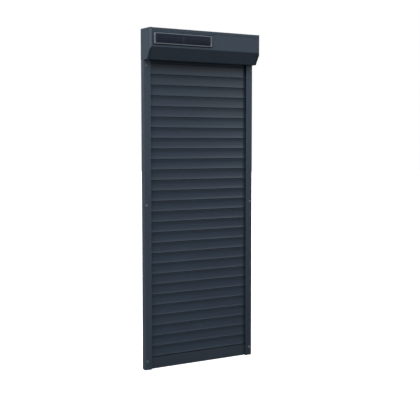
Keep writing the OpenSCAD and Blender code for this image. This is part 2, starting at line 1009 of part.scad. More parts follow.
module panel_glass() {
    color("#1f2430")
        panel_plate(
            y_front - panel_back - glass_t,
            y_front - panel_back,
            bezel_side + fit,
            bezel_edge + fit
        );
}

module panel_screws() {
    shank = panel_t - panel_screw_head_h - fit + sheet_t;
    color("#9aa1a7")
        for (x = panel_screw_xs, z = panel_screw_zs)
            translate([x, y_front + sheet_t, z])
                rotate([90, 0, 0]) {
                    cylinder(h = shank, d = panel_screw_d);
                    translate([0, 0, shank])
                        cylinder(h = panel_screw_head_h, d = panel_screw_head_d);
                }
}

module battery_pack() {
    color("#30353a")
        translate([x_battery, y_battery, z_battery])
            rotate([0, 90, 0])
                cylinder(h = battery_len, d = battery_d);
}

// Snap clips that hang from the top cover and hold the battery, open at the bottom
module battery_clips() {
    outer = battery_r + battery_clip_t;
    xs = [battery_clip_in, battery_len - battery_clip_in - battery_clip_w];
    color("#1d2023")
        for (x = xs)
            along_x(x_battery + x, x_battery + x + battery_clip_w)
                difference() {
                    block_section(
                        [y_battery - outer, z_battery - battery_r / 2],
                        [y_battery + outer, z_ceiling]
                    );
                    translate([y_battery, z_battery])
                        circle(r = battery_r + fit);
                }
}

left_cheek();
right_cheek();
top_cover();
front_hatch();
box_screws();
left_rail();
right_rail();
rail_lip_seals();
rail_feet();
rail_caps();
inlet_guides();
inlet_lip();
motor_bracket();
tube_motor();
bearing_bracket();
idler_bearing();
panel_frame();
panel_glass();
panel_screws();
battery_pack();
battery_clips();
winding_tube();
crown_ring();
drive_wheel();
idler_plug();
lock_clips();
lock_links();
slat_end_clips();
end_bar();
bar_seal();
bar_end_caps();
for (i = [0:slat_count - 1])
    slat(i);
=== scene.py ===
"""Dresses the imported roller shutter: rounded metal pieces, their finishes, studio and camera."""
import json
import logging
import math
from dataclasses import dataclass, replace
from enum import Enum
from typing import Any, Callable, Iterable, Sequence

import bpy
import numpy as np
import numpy.typing as npt
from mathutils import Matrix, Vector
from mathutils.geometry import tessellate_polygon


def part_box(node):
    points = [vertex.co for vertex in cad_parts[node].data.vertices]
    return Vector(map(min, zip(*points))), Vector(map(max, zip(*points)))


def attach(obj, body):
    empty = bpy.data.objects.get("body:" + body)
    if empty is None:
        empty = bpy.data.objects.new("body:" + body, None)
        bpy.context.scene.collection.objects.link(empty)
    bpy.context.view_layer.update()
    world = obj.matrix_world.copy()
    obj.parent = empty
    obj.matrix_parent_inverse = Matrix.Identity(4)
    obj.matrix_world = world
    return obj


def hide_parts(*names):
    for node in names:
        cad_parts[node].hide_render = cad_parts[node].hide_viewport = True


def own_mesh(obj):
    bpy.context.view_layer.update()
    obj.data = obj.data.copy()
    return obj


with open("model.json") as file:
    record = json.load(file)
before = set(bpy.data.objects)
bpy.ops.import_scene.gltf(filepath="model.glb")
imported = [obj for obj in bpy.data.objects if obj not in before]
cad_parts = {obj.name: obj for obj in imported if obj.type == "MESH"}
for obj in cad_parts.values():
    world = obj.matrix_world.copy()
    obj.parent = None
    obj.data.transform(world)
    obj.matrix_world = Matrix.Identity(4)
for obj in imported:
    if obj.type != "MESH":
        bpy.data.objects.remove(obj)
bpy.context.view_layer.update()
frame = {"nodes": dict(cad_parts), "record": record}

Array = npt.NDArray[np.float64]
Numbers = npt.NDArray[np.int64]
Pair = tuple[float, float]
Triple = tuple[float, float, float]
Socket = bpy.types.NodeSocket
log = logging.getLogger("shutter")

MM = 0.001
QUARTER = math.pi / 2
NEAR = 0.01 * MM  # tolerance when points are picked by their place
FIT = 0.1 * MM  # gap between pieces that sit in each other
SLIDE = 0.5 * MM  # gap beside pieces that slide
BURR = 0.3 * MM  # radius of plain cut edges
ARC_MARGIN = 1.5 * MM  # distance of the extra points on the lines beside an arc
SLAB_START = 0.15  # first angle of a slab's rounded end
SLAB_STEPS = 4
EDGE_LAYER = "edge_mask"
SMOOTH_BELOW = math.radians(33)


class Axis(Enum):
    """Direction a section is carried along, as the columns of its two flat axes and itself."""

    X = (1, 2, 0)
    Y = (2, 0, 1)
    Z = (0, 1, 2)


class Body(Enum):
    """Bodies that new pieces ride on."""

    FRAME = "frame"
    CURTAIN = "curtain"


class Slot(Enum):
    """Material slots of the record."""

    BOX = "box_coat"
    RAIL = "rail_coat"
    SLAT = "slat_coat"
    BAR = "bar_coat"
    RUBBER = "black_rubber"
    BLACK_PLASTIC = "black_plastic"
    GREY_PLASTIC = "grey_plastic"
    ZINC = "zinc_steel"
    BRIGHT = "bright_steel"
    MOTOR = "motor_shell"
    PANEL = "panel_coat"
    CELLS = "panel_cells"
    BATTERY = "battery_shell"


def unit(vectors: Array) -> Array:
    """Vectors scaled to length one, row by row."""
    return vectors / np.maximum(np.linalg.norm(vectors, axis=-1, keepdims=True), 1e-12)


def turned(angles: Array, radius: Array | float) -> Array:
    """Points (r cos a, r sin a) for every angle a."""
    return np.stack([radius * np.cos(angles), radius * np.sin(angles)], axis=-1)


def circle(sides: int) -> Array:
    """Even angles all the way round."""
    return np.arange(sides) * 2 * np.pi / sides


def left_of(steps: Array) -> Array:
    """Steps turned a quarter to the left, row by row."""
    return np.stack([-steps[:, 1], steps[:, 0]], axis=1)


def spanned(a: Array, b: Array) -> Array:
    """Signed area that vectors a and b span, row by row."""
    return a[:, 0] * b[:, 1] - a[:, 1] * b[:, 0]


def rectangle(low: Sequence[float], high: Sequence[float]) -> Array:
    """Corners of a rectangle, counter-clockwise from the lowest one."""
    return np.array([low, [high[0], low[1]], high, [low[0], high[1]]])


def spots(x: Array | float, y: Array | float, z: Array | float) -> Array:
    """Places with the given coordinates, one per row; a plain number holds for every row."""
    return np.column_stack(np.broadcast_arrays(x, y, z))


def soft_rectangles(half: Array, radius: Array, steps: int) -> Array:
    """Rectangles about the origin whose corners are quarter circles.

    A corner of signs s is s (h - r) + r (cos a, sin a), with a over the quarter that it faces.

    Args:
        half: Half sizes h, one pair per rectangle.
        radius: Corner radius r of each rectangle.
        steps: Points on each corner.

    Returns:
        Array (rectangles, points, 2).
    """
    sweep = np.arange(4)[:, None] * QUARTER + np.linspace(0, QUARTER, steps)
    signs = np.array([[1, 1], [-1, 1], [-1, -1], [1, -1]])
    centre = signs * (half - radius[:, None])[:, None]
    arcs = centre[:, :, None] + turned(sweep, 1.0) * radius[:, None, None, None]
    return arcs.reshape(len(radius), -1, 2)


def shifted(path: Array, offset: float) -> Array:
    """Moves an open line to its left, with mitred corners.

    A point p between lines of normals n0 and n1 goes to p + t (n0 + n1) / (1 + n0 . n1).

    Args:
        path: Points of the line, one per row.
        offset: Distance t to the left.

    Returns:
        The moved points.
    """
    left = left_of(unit(np.diff(path, axis=0)))
    before, after = np.vstack([left[:1], left]), np.vstack([left, left[-1:]])
    return path + offset * (before + after) / (1 + (before * after).sum(1))[:, None]


def drawn_in(points: Array, offset: Array | float) -> Array:
    """Moves the sides of a closed counter-clockwise line inwards.

    A corner p between sides of inward normals n0 and n1 that move by d0 and d1 goes to
    p + (d0 (n0 - c n1) + d1 (n1 - c n0)) / (1 - c c), where c is n0 . n1.

    Args:
        points: Corners of the closed line.
        offset: Distance inwards, one for all sides or one for the side after each corner.

    Returns:
        The moved corners, in the same order.
    """
    after = left_of(unit(np.roll(points, -1, 0) - points))
    far = np.broadcast_to(np.asarray(offset, float), len(points))[:, None]
    before, near = np.roll(after, 1, 0), np.roll(far, 1, 0)
    lean = (before * after).sum(1, keepdims=True)
    return points + (near * (before - lean * after) + far * (after - lean * before)) / (1 - lean**2)


def linked(name: str, data: Any) -> bpy.types.Object:
    """Puts a new object into the scene, at the origin.

    Args:
        name: Name of the object.
        data: Its mesh, camera or light.

    Returns:
        The object.
    """
    obj = bpy.data.objects.new(name, data)
    bpy.context.scene.collection.objects.link(obj)
    return obj


@dataclass(frozen=True)
class Outline:
    """Closed section line, counter-clockwise, with outward normals and an edge mask.

    Attributes:
        points: Section points, one per row.
        normals: Outward normal at each point.
        edge: One on rounded corners, which are lightened as scuffing and painted highlight, down to minus one
            in recesses, where shade is painted, zero elsewhere.
    """

    points: Array
    normals: Array
    edge: Array

    @classmethod
    def rounded(cls, corners: Array, radii: Sequence[float] | float, steps: int = 6) -> "Outline":
        """Polygon whose corners are arcs.

        The arc at a corner has its centre on the bisector, r / sin(half angle) away, and it
        meets both lines r / tan(half angle) from the corner. A point is added on each line
        just past the arc, so the flats stay flat in the shading.

        Args:
            corners: Polygon corners, counter-clockwise.
            radii: One radius for each corner, or one for all; zero keeps a plain point.
            steps: Points on each arc.

        Returns:
            The rounded outline.
        """
        corner = np.asarray(corners, float)
        r = np.broadcast_to(np.asarray(radii, float), len(corner))
        back, ahead = np.roll(corner, 1, 0) - corner, np.roll(corner, -1, 0) - corner
        back_len, ahead_len = np.linalg.norm(back, axis=1), np.linalg.norm(ahead, axis=1)
        back, ahead = unit(back), unit(ahead)
        half = np.arccos(np.clip((back * ahead).sum(1), -1, 1)) / 2
        reach = np.where(r > 0, r / np.tan(half), 0)
        centre = corner + unit(back + ahead) * (r / np.sin(half))[:, None]
        first = corner + back * reach[:, None] - centre
        last = corner + ahead * reach[:, None] - centre
        start = np.arctan2(first[:, 1], first[:, 0])
        sweep = (np.arctan2(last[:, 1], last[:, 0]) - start + np.pi) % (2 * np.pi) - np.pi
        angle = start[:, None] + sweep[:, None] * np.linspace(0, 1, steps)
        arc = centre[:, None] + turned(angle, r[:, None])
        side_in, side_out = left_of(back), -left_of(ahead)
        mitre = (side_in + side_out) / (1 + (side_in * side_out).sum(1))[:, None]
        bulge = np.where(r > 0, np.sign(sweep), 0)[:, None, None] * turned(angle, 1.0)
        arc_normal = np.where((r > 0)[:, None, None], bulge, mitre[:, None])
        before = corner + back * (reach + ARC_MARGIN)[:, None]
        after = corner + ahead * (reach + ARC_MARGIN)[:, None]
        points = np.concatenate([before[:, None], arc, after[:, None]], axis=1)
        normals = np.concatenate([side_in[:, None], arc_normal, side_out[:, None]], axis=1)
        edge = np.zeros(points.shape[:2])
        edge[:, 1:-1] = (r > 0)[:, None]
        keep = np.ones(points.shape[:2], bool)
        keep[:, 0] = (r > 0) & (back_len - reach - np.roll(reach, 1) > 3 * ARC_MARGIN)
        keep[:, -1] = (r > 0) & (ahead_len - reach - np.roll(reach, -1) > 3 * ARC_MARGIN)
        keep[r <= 0, 2:] = False
        return cls(points[keep], normals[keep], edge[keep])

    @classmethod
    def sheet(cls, path: Array, thickness: float, bend: float) -> "Outline":
        """Section of a folded sheet whose outer face follows a line.

        Every bend has one radius on its outer face and that radius less the thickness on
        its inner one.

        Args:
            path: Corners of the outer face, with the sheet on their left.
            thickness: Sheet thickness.
            bend: Outer bend radius.

        Returns:
            The closed section.
        """
        step = np.diff(path, axis=0)
        left_turn = spanned(step[:-1], step[1:]) > 0
        tight = max(bend - thickness, BURR)
        on_line, on_inner = np.where(left_turn, bend, tight), np.where(left_turn, tight, bend)
        radii = np.concatenate([[BURR], on_line, [BURR], [BURR], on_inner[::-1], [BURR]])
        return cls.rounded(np.vstack([path, shifted(path, thickness)[::-1]]), radii)

    def moved(self, du: float, dv: float) -> "Outline":
        """The same outline moved in its plane."""
        return replace(self, points=self.points + (du, dv))

    def recessed(self, depth: Array) -> "Outline":
        """The outline with a depth of recess, 0 to 1, at each point, which sets how much shade is painted
        there; zero leaves the point as it is.
        """
        return replace(self, edge=np.where(depth > 0, -1.0 * depth, self.edge))

    def hole(self) -> "Outline":
        """The outline run the other way round, as the edge of a hole, with no edge mask."""
        return Outline(self.points[::-1], -self.normals[::-1], np.zeros(len(self.edge)))


@dataclass(frozen=True)
class Shell:
    """Closed surface as whole arrays.

    Attributes:
        points: Vertices, one per row.
        quads: Four vertex numbers per row.
        tris: Three vertex numbers per row.
        edge: Edge mask of each vertex.
    """

    points: Array
    quads: Numbers
    tris: Numbers
    edge: Array

    @classmethod
    def loft(
        cls, sections: Array, stations: Sequence[float] | Array, axis: Axis,
        edge: Array | float = 0.0, loops: Sequence[int] | None = None,
    ) -> "Shell":
        """Sections carried along an axis and closed at both ends.

        Vertex (i, j) is point j of section i, at station i along the axis. Each cap is the
        flat face within the section's outer loop and outside its other loops.

        Args:
            sections: Array (stations, points, 2), or (points, 2) for one section throughout.
            stations: Place of each section along the axis.
            axis: Axis that the sections are carried along.
            edge: Edge mask, spread over (stations, points).
            loops: Number of points in each loop of a section; one loop where left out.

        Returns:
            The closed surface, facing outwards.
        """
        rows, count = len(stations), sections.shape[-2]
        flat = np.broadcast_to(sections, (rows, count, 2))
        points = np.empty((rows, count, 3))
        points[..., list(axis.value[:2])] = flat
        points[..., axis.value[2]] = np.asarray(stations, float)[:, None]
        sizes = np.asarray([count] if loops is None else loops)
        ends = np.cumsum(sizes)
        here = np.arange(count)
        follow = here + 1
        follow[ends - 1] = ends - sizes
        base = (np.arange(rows - 1) * count)[:, None]
        quads = np.stack([base + here, base + follow, base + count + follow, base + count + here], -1)
        low = cls.cap(flat[0], sizes)[:, ::-1]
        high = cls.cap(flat[-1], sizes) + (rows - 1) * count
        mask = np.broadcast_to(edge, (rows, count))
        shell = cls(points.reshape(-1, 3), quads.reshape(-1, 4), np.vstack([low, high]), mask.reshape(-1))
        return shell.outward()

    @staticmethod
    def cap(section: Array, sizes: Numbers) -> Numbers:
        """Triangles of a flat face with holes, counter-clockwise.

        Args:
            section: Points of all its loops.
            sizes: Number of points in each loop.

        Returns:
            Vertex numbers, three per row.
        """
        flat = np.column_stack([section / MM, np.zeros(len(section))])
        lines = [[Vector(p) for p in loop] for loop in np.split(flat, np.cumsum(sizes)[:-1])]
        tris = np.array(tessellate_polygon(lines), dtype=np.int64).reshape(-1, 3)
        a, b, c = (section[tris[:, k]] for k in range(3))
        return np.where((spanned(b - a, c - a) < 0)[:, None], tris[:, ::-1], tris)

    @classmethod
    def prism(cls, lines: Sequence[Outline], axis: Axis, low: float, high: float) -> "Shell":
        """One section carried from low to high.

        Args:
            lines: Outer outline first, then its holes.
            axis: Axis that it is carried along.
            low: First end.
            high: Last end.

        Returns:
            The closed prism.
        """
        points = np.vstack([line.points for line in lines])
        edge = np.concatenate([line.edge for line in lines])
        return cls.loft(points, (low, high), axis, edge, [len(line.points) for line in lines])

    @classmethod
    def slab(cls, low: Sequence[float], high: Sequence[float], radius: float, axis: Axis = Axis.Z) -> "Shell":
        """Box with all its edges rounded.

        Section k is the rectangle of the box with corner arcs of radius r sin(a), while its
        station lies r (1 - cos(a)) inside the end, for a from just over 0 to 90 degrees.

        Args:
            low: Lowest corner.
            high: Highest corner.
            radius: Edge radius.
            axis: Axis that its sections are stacked along.

        Returns:
            The closed box.
        """
        u, v, w = axis.value
        angle = np.linspace(SLAB_START, QUARTER, SLAB_STEPS)
        ring, rise = radius * np.sin(angle), radius * (1 - np.cos(angle))
        ring = np.concatenate([ring, ring[::-1]])
        lift = np.concatenate([low[w] + rise, high[w] - rise[::-1]])
        half = np.array([high[u] - low[u], high[v] - low[v]]) / 2
        middle = np.array([high[u] + low[u], high[v] + low[v]]) / 2
        sections = soft_rectangles(half - radius + ring[:, None], ring, SLAB_STEPS)
        return cls.loft(sections + middle, lift, axis, 1.0)

    @classmethod
    def lathe(
        cls, radii: Array, stations: Sequence[float], axis: Axis, sides: int = 32, edge: Array | float = 0.0
    ) -> "Shell":
        """Turned piece on the axis through the origin: ring i has radius i at station i.

        Args:
            radii: Radius of each ring, or an array (rings, sides) where it changes round it.
            stations: Place of each ring along the axis.
            axis: Turning axis.
            sides: Points round the axis.
            edge: Edge mask of each ring.

        Returns:
            The closed surface.
        """
        radius = radii[:, None] if radii.ndim == 1 else radii
        angle = np.broadcast_to(circle(sides), (len(radii), sides))
        return cls.loft(turned(angle, radius), stations, axis, np.asarray(edge)[..., None])

    @classmethod
    def joined(cls, shells: Iterable["Shell"]) -> "Shell":
        """Several surfaces as one.

        Args:
            shells: The surfaces.

        Returns:
            One surface with all their faces.
        """
        parts = list(shells)
        start = np.cumsum([0] + [len(part.points) for part in parts[:-1]])
        return cls(
            np.vstack([part.points for part in parts]),
            np.vstack([part.quads + at for part, at in zip(parts, start)]),
            np.vstack([part.tris + at for part, at in zip(parts, start)]),
            np.concatenate([part.edge for part in parts]),
        )

    def copies(self, places: Array) -> "Shell":
        """The surface repeated at every given place.

        Args:
            places: One offset per row.

        Returns:
            All copies as one surface.
        """
        return Shell.joined(replace(self, points=self.points + place) for place in places)

    def turned_over(self) -> "Shell":
        """The surface with its faces looking the other way."""
        return replace(self, quads=self.quads[:, ::-1], tris=self.tris[:, ::-1])

    def mirrored(self) -> "Shell":
        """The mirror image in X, still facing outwards."""
        return replace(self, points=self.points * (-1, 1, 1)).turned_over()

    def both_sides(self) -> "Shell":
        """The surface and its mirror image in X."""
        return Shell.joined([self, self.mirrored()])

    def outward(self) -> "Shell":
        """The surface with its faces turned outwards, judged by its signed volume.

        Returns:
            The same surface or the one turned over.
        """
        a, b, c, d = (self.points[self.quads[:, k]] for k in range(4))
        e, f, g = (self.points[self.tris[:, k]] for k in range(3))
        volume = (np.cross(b, c) * a).sum() + (np.cross(c, d) * a).sum() + (np.cross(f, g) * e).sum()
        return self if volume >= 0 else self.turned_over()

    def to_object(self, name: str) -> bpy.types.Object:
        """Puts the surface into a new Blender object.

        Args:
            name: Name of the object.

        Returns:
            The object, at the origin and linked to the scene.
        """
        mesh = bpy.data.meshes.new(name)
        mesh.from_pydata(self.points.tolist(), [], self.quads.tolist() + self.tris.tolist())
        layer = mesh.attributes.new(EDGE_LAYER, "FLOAT", "POINT")
        layer.data.foreach_set("value", self.edge.astype(np.float32))
        mesh.polygons.foreach_set("use_smooth", np.ones(len(mesh.polygons), bool))
        mesh.set_sharp_from_angle(angle=SMOOTH_BELOW)
        mesh.update()
        return linked(name, mesh)


def bore(obj: bpy.types.Object, drills: Shell) -> None:
    """Bores holes into a piece.

    Args:
        obj: Piece to bore.
        drills: Closed cylinders to take away.
    """
    cutter = drills.to_object(obj.name + "_drill")
    step = obj.modifiers.new("holes", "BOOLEAN")
    step.operation, step.solver, step.object = "DIFFERENCE", "EXACT", cutter
    graph = bpy.context.evaluated_depsgraph_get()
    mesh = bpy.data.meshes.new_from_object(obj.evaluated_get(graph), depsgraph=graph)
    obj.modifiers.remove(step)
    obj.data = mesh
    bpy.data.objects.remove(cutter)
    mesh.set_sharp_from_angle(angle=SMOOTH_BELOW)


def scaled(colour: Triple, factor: float) -> Triple:
    """A colour made lighter or darker by a factor."""
    return (colour[0] * factor, colour[1] * factor, colour[2] * factor)


class Graph:
    """Short way to add nodes to one tree and link them."""

    def __init__(self, tree: bpy.types.NodeTree) -> None:
        """Keeps the tree."""
        self.tree = tree

    def add(self, kind: str, inputs: dict[Any, Any] | None = None, **settings: Any) -> bpy.types.Node:
        """Adds a node.

        Args:
            kind: Node type, without the ShaderNode prefix.
            inputs: Values or output sockets by input name or number.
            **settings: Properties of the node.

        Returns:
            The new node.
        """
        node = self.tree.nodes.new("ShaderNode" + kind)
        for key, value in settings.items():
            setattr(node, key, value)
        for key, value in (inputs or {}).items():
            self.feed(node, key, value)
        return node

    def feed(self, node: bpy.types.Node, key: Any, value: Any) -> None:
        """Links a socket to an input, or sets the input's value; a colour gets its alpha.

        Args:
            node: Node to feed.
            key: Name or number of the input.
            value: Output socket or plain value.
        """
        target = node.inputs[key]
        if isinstance(value, Socket):
            self.tree.links.new(value, target)
        else:
            target.default_value = (*value, 1.0) if target.type == "RGBA" else value

    def math(self, operation: str, a: Any, b: Any = 0.0, clamp: bool = False) -> Socket:
        """Result of one math operation on two values or sockets."""
        return self.add("Math", {0: a, 1: b}, operation=operation, use_clamp=clamp).outputs[0]

    def times(self, a: Any, b: Any, clamp: bool = False) -> Socket:
        """Product of two values or sockets."""
        return self.math("MULTIPLY", a, b, clamp)

    def blend(self, factor: Any, a: Any, b: Any) -> Socket:
        """Colour a mixed towards colour b by a factor."""
        return self.add("Mix", {6: a, 7: b, 0: factor}, data_type="RGBA").outputs[2]

    def ramp(self, value: Any, ends: Pair, low: float = 0.0, high: float = 1.0, **settings: Any) -> Socket:
        """A value between two ends spread over low to high."""
        spread = {"From Min": ends[0], "From Max": ends[1], "To Min": low, "To Max": high}
        return self.add("MapRange", {"Value": value, **spread}, **settings).outputs["Result"]

    def place(self) -> Socket:
        """Object coordinates."""
        return self.add("TexCoord").outputs["Object"]

    def height(self, vector: Socket) -> Socket:
        """Z of a vector."""
        return self.add("SeparateXYZ", {0: vector}).outputs["Z"]

    def vector(self, operation: str, inputs: dict[Any, Any]) -> Any:
        """Outputs of one vector operation."""
        return self.add("VectorMath", inputs, operation=operation).outputs

    def noise(self, scale: Any, detail: float = 3.0, vector: Any = None) -> Socket:
        """Noise in cells per metre of Object coordinates, or along a given vector."""
        place = self.place() if vector is None else vector
        return self.add("TexNoise", {"Vector": place, "Scale": scale, "Detail": detail}).outputs["Fac"]


@dataclass(frozen=True)
class Effect:
    """Node group that several finishes share, built at its first use.

    Attributes:
        name: Name of the group.
        inputs: Input names with their first values.
        outputs: Output names.
        fill: Function from the group's graph and its input sockets to its output sockets.
    """

    name: str
    inputs: dict[str, float]
    outputs: tuple[str, ...]
    fill: Callable[[Graph, Any], Sequence[Socket]]

    def tree(self) -> bpy.types.NodeTree:
        """Makes the group, or finds the one made before.

        Returns:
            The group's tree.
        """
        found = bpy.data.node_groups.get(self.name)
        if found is not None:
            return found
        tree = bpy.data.node_groups.new(self.name, "ShaderNodeTree")
        for key, value in self.inputs.items():
            socket = tree.interface.new_socket(name=key, in_out="INPUT", socket_type="NodeSocketFloat")
            socket.default_value = value
        for key in self.outputs:
            tree.interface.new_socket(name=key, in_out="OUTPUT", socket_type="NodeSocketFloat")
        graph, source = Graph(tree), tree.nodes.new("NodeGroupInput")
        sink = tree.nodes.new("NodeGroupOutput")
        for key, value in zip(self.outputs, self.fill(graph, source.outputs)):
            graph.feed(sink, key, value)
        return tree

    def put(self, graph: Graph, **values: Any) -> Any:
        """Puts the group into a material with its own values, and gives its outputs."""
        return graph.add("Group", values, node_tree=self.tree()).outputs


def fill_coat_grain(graph: Graph, given: Any) -> Sequence[Socket]:
    """Sprayed coat, all from 0 to 1: fine noise over soft orange peel, and two wider noises.

    Args:
        graph: Graph of the group.
        given: Its input sockets.

    Returns:
        Height, tone and gloss.
    """
    fine, peel = graph.noise(given["Grain"], 2.0), graph.noise(given["Peel"], 1.0)
    height = graph.math("ADD", graph.times(fine, 0.45), peel)
    cloud = graph.times(given["Cloud"], 5.0)
    return height, graph.noise(given["Cloud"], 4.0), graph.noise(cloud, 3.0)


def fill_edge_wear_and_painted_light(graph: Graph, given: Any) -> Sequence[Socket]:
    """Masks from the edge layer: its positive share times a stretched noise, and its negative share.

    Args:
        graph: Graph of the group.
        given: Its input sockets.

    Returns:
        Mask of scuffed edges, which also paints their highlight, and mask of recesses, where shade is
        painted.
    """
    layer = graph.add("Attribute", attribute_name=EDGE_LAYER).outputs["Fac"]
    rubbed_and_lit = graph.ramp(graph.noise(given["Scale"], 5.0), (0.35, 0.7))
    mask = graph.times(graph.math("MAXIMUM", layer, 0.0), rubbed_and_lit)
    return graph.times(mask, given["Amount"], True), graph.times(layer, -1.0, True)


def fill_settled_dust(graph: Graph, given: Any) -> Sequence[Socket]:
    """Dust on faces that look upwards: the upward share of the normal times cloudy noise.

    Args:
        graph: Graph of the group.
        given: Its input sockets.

    Returns:
        Mask of the dust.
    """
    up = graph.height(graph.add("NewGeometry").outputs["Normal"])
    mask = graph.times(graph.ramp(up, (0.2, 1.0)), graph.noise(given["Scale"], 6.0))
    return (graph.times(mask, given["Amount"], True),)


def fill_stripes(graph: Graph, given: Any) -> Sequence[Socket]:
    """Even lines: distance to the nearest line, in periods, against half the line's share.

    Args:
        graph: Graph of the group.
        given: Its input sockets.

    Returns:
        Mask of the lines.
    """
    away = graph.math("PINGPONG", graph.math("DIVIDE", given["Coordinate"], given["Period"]), 0.5)
    half = graph.times(graph.math("DIVIDE", given["Width"], given["Period"]), 0.5)
    return (graph.math("LESS_THAN", away, half),)


COAT_GRAIN = Effect(
    "coat_grain", {"Grain": 1800.0, "Peel": 420.0, "Cloud": 2.2}, ("Height", "Tone", "Gloss"), fill_coat_grain
)
# Lighter edges, scuffing with a painted highlight, and painted shade in recesses.
EDGE_WEAR_AND_PAINTED_LIGHT = Effect("edge_wear_and_painted_light", {"Scale": 60.0, "Amount": 0.3}, ("Mask", "Recess"), fill_edge_wear_and_painted_light)
SETTLED_DUST = Effect("settled_dust", {"Scale": 9.0, "Amount": 0.4}, ("Mask",), fill_settled_dust)
STRIPES = Effect("stripes", {"Coordinate": 0.0, "Period": 0.01, "Width": 0.001}, ("Mask",), fill_stripes)


@dataclass(frozen=True)
class Finish:
    """Surface finish with its own procedural material.

    Attributes:
        name: Name of the material.
        slot: Slot of the pieces that it finishes.
        colour: Main colour, linear.
        roughness: Middle roughness.
        tone: Factors of the colour that it wanders between.
        gloss: Steps from the roughness that it wanders between.
        relief: Strength and distance of its bump.
        worn_and_lit: Factor of the colour on scuffed edges, which also paints their highlight.
    """

    name: str
    slot: Slot
    colour: Triple
    roughness: float
    tone: Pair = (0.85, 1.15)
    gloss: Pair = (-0.08, 0.08)
    relief: Pair = (0.08, 0.1 * MM)
    worn_and_lit: float = 2.0

    def material(self) -> bpy.types.Material:
        """Makes the finish's material, or finds the one made before.

        Returns:
            The material.
        """
        found = bpy.data.materials.get(self.name)
        if found is not None:
            return found
        made = bpy.data.materials.new(self.name)
        made.use_nodes = True
        made.diffuse_color = (*self.colour, 1.0)
        graph = Graph(made.node_tree)
        for key, value in self.inputs(graph).items():
            graph.feed(made.node_tree.nodes["Principled BSDF"], key, value)
        return made

    def inputs(self, graph: Graph) -> dict[str, Any]:
        """What goes into the shader, by input; each kind of finish has its own."""
        raise NotImplementedError

    def toned(self, graph: Graph, share: Socket) -> Socket:
        """The colour between its darkest and lightest tone, by a share."""
        dark, light = (scaled(self.colour, factor) for factor in self.tone)
        return graph.blend(share, dark, light)

    def rubbed_and_lit(self, graph: Graph, mask: Socket, colour: Socket) -> Socket:
        """A colour with the lighter edge tone, scuffing and painted highlight, where a mask says so."""
        return graph.blend(mask, colour, scaled(self.colour, self.worn_and_lit))

    def rough(self, graph: Graph, share: Socket) -> Socket:
        """The roughness between its two steps, by a share."""
        return graph.ramp(share, (0.0, 1.0), *(self.roughness + step for step in self.gloss))

    def bump(self, graph: Graph, height: Socket) -> Socket:
        """Normal of a height in the surface."""
        strength, distance = self.relief
        return graph.add("Bump", {"Height": height, "Strength": strength, "Distance": distance}).outputs[0]


@dataclass(frozen=True)
class Coat(Finish):
    """Sprayed satin coat on metal, lighter on its edges as scuffing and painted highlight, dusty on top, with
    painted shade in recesses.

    Attributes:
        grain: Cells of the fine grain per metre.
        wear_and_painted_light: How much the edges are lightened, as scuffing and painted highlight.
        dust: How much dust lies on faces that look up.
        dust_colour: Colour of the dust.
        dust_dull: How much the dust adds to the roughness.
        shade_colour: Colour of the shade painted in recesses.
        painted_shade: Share of that colour in a full recess.
        recess_dull: Roughness of a full recess.
        height_shading: Share of painted light by which the coat is darker at the foot and lighter at the top.
    """

    tone: Pair = (0.86, 1.14)
    gloss: Pair = (-0.06, 0.06)
    relief: Pair = (0.10, 0.15 * MM)
    worn_and_lit: float = 2.4
    grain: float = 1800.0
    wear_and_painted_light: float = 0.30
    dust: float = 0.25
    dust_colour: Triple = (0.16, 0.155, 0.145)
    dust_dull: float = 2.0
    shade_colour: Triple = (0.002, 0.003, 0.004)
    painted_shade: float = 0.9
    recess_dull: float = 0.95
    height_shading: float = 0.0

    def inputs(self, graph: Graph) -> dict[str, Any]:
        """Tone, scuffed edges with painted highlight, dust and painted shade in recesses in the colour,
        cloudy gloss, fine grain in the normal.

        Args:
            graph: Graph of the material.

        Returns:
            Sockets by input of the shader.
        """
        coat = COAT_GRAIN.put(graph, Grain=self.grain)
        wear_and_painted_light = EDGE_WEAR_AND_PAINTED_LIGHT.put(graph, Amount=self.wear_and_painted_light)
        dust = SETTLED_DUST.put(graph, Amount=self.dust)["Mask"]
        # Painted highlight on the edges, broken up by noise like scuffing.
        colour = self.rubbed_and_lit(graph, wear_and_painted_light["Mask"], self.toned(graph, coat["Tone"]))
        # Painted light: darker towards the foot, lighter towards the top.
        if self.height_shading:
            colour = self.by_height(graph, colour)
        dusty = graph.blend(dust, colour, self.dust_colour)
        # Painted shade: recesses go towards near black, and duller.
        shade_share = graph.times(wear_and_painted_light["Recess"], self.painted_shade)
        dull = graph.math("ADD", self.rough(graph, coat["Gloss"]), graph.times(dust, self.dust_dull))
        return {
            "Base Color": graph.blend(shade_share, dusty, self.shade_colour),
            "Roughness": graph.math("MAXIMUM", dull, graph.times(wear_and_painted_light["Recess"], self.recess_dull)),
            "Normal": self.bump(graph, coat["Height"]),
        }

    def by_height(self, graph: Graph, colour: Socket) -> Socket:
        """A colour darkened towards the foot and lightened towards the top, a metre from the origin, as
        painted light.

        Args:
            graph: Graph to build in.
            colour: The colour.

        Returns:
            The colour with that painted light.
        """
        high = graph.height(graph.place())
        share = graph.ramp(high, (-1.0, 1.0), 1.0 - self.height_shading, 1.0 + self.height_shading)
        return graph.vector("SCALE", {0: colour, "Scale": share})[0]


@dataclass(frozen=True)
class Rubber(Finish):
    """Matt extruded rubber with a slight bloom."""

    tone: Pair = (0.7, 1.5)
    gloss: Pair = (-0.1, 0.1)
    relief: Pair = (0.15, 0.2 * MM)
    specular: float = 0.2

    def inputs(self, graph: Graph) -> dict[str, Any]:
        """Cloudy bloom in colour and roughness, fine skin in the normal.

        Args:
            graph: Graph of the material.

        Returns:
            Values and sockets by input of the shader.
        """
        coat = COAT_GRAIN.put(graph, Grain=2600.0, Cloud=7.0)
        return {
            "Specular IOR Level": self.specular,
            "Base Color": self.toned(graph, coat["Tone"]),
            "Roughness": self.rough(graph, coat["Gloss"]),
            "Normal": self.bump(graph, coat["Height"]),
        }


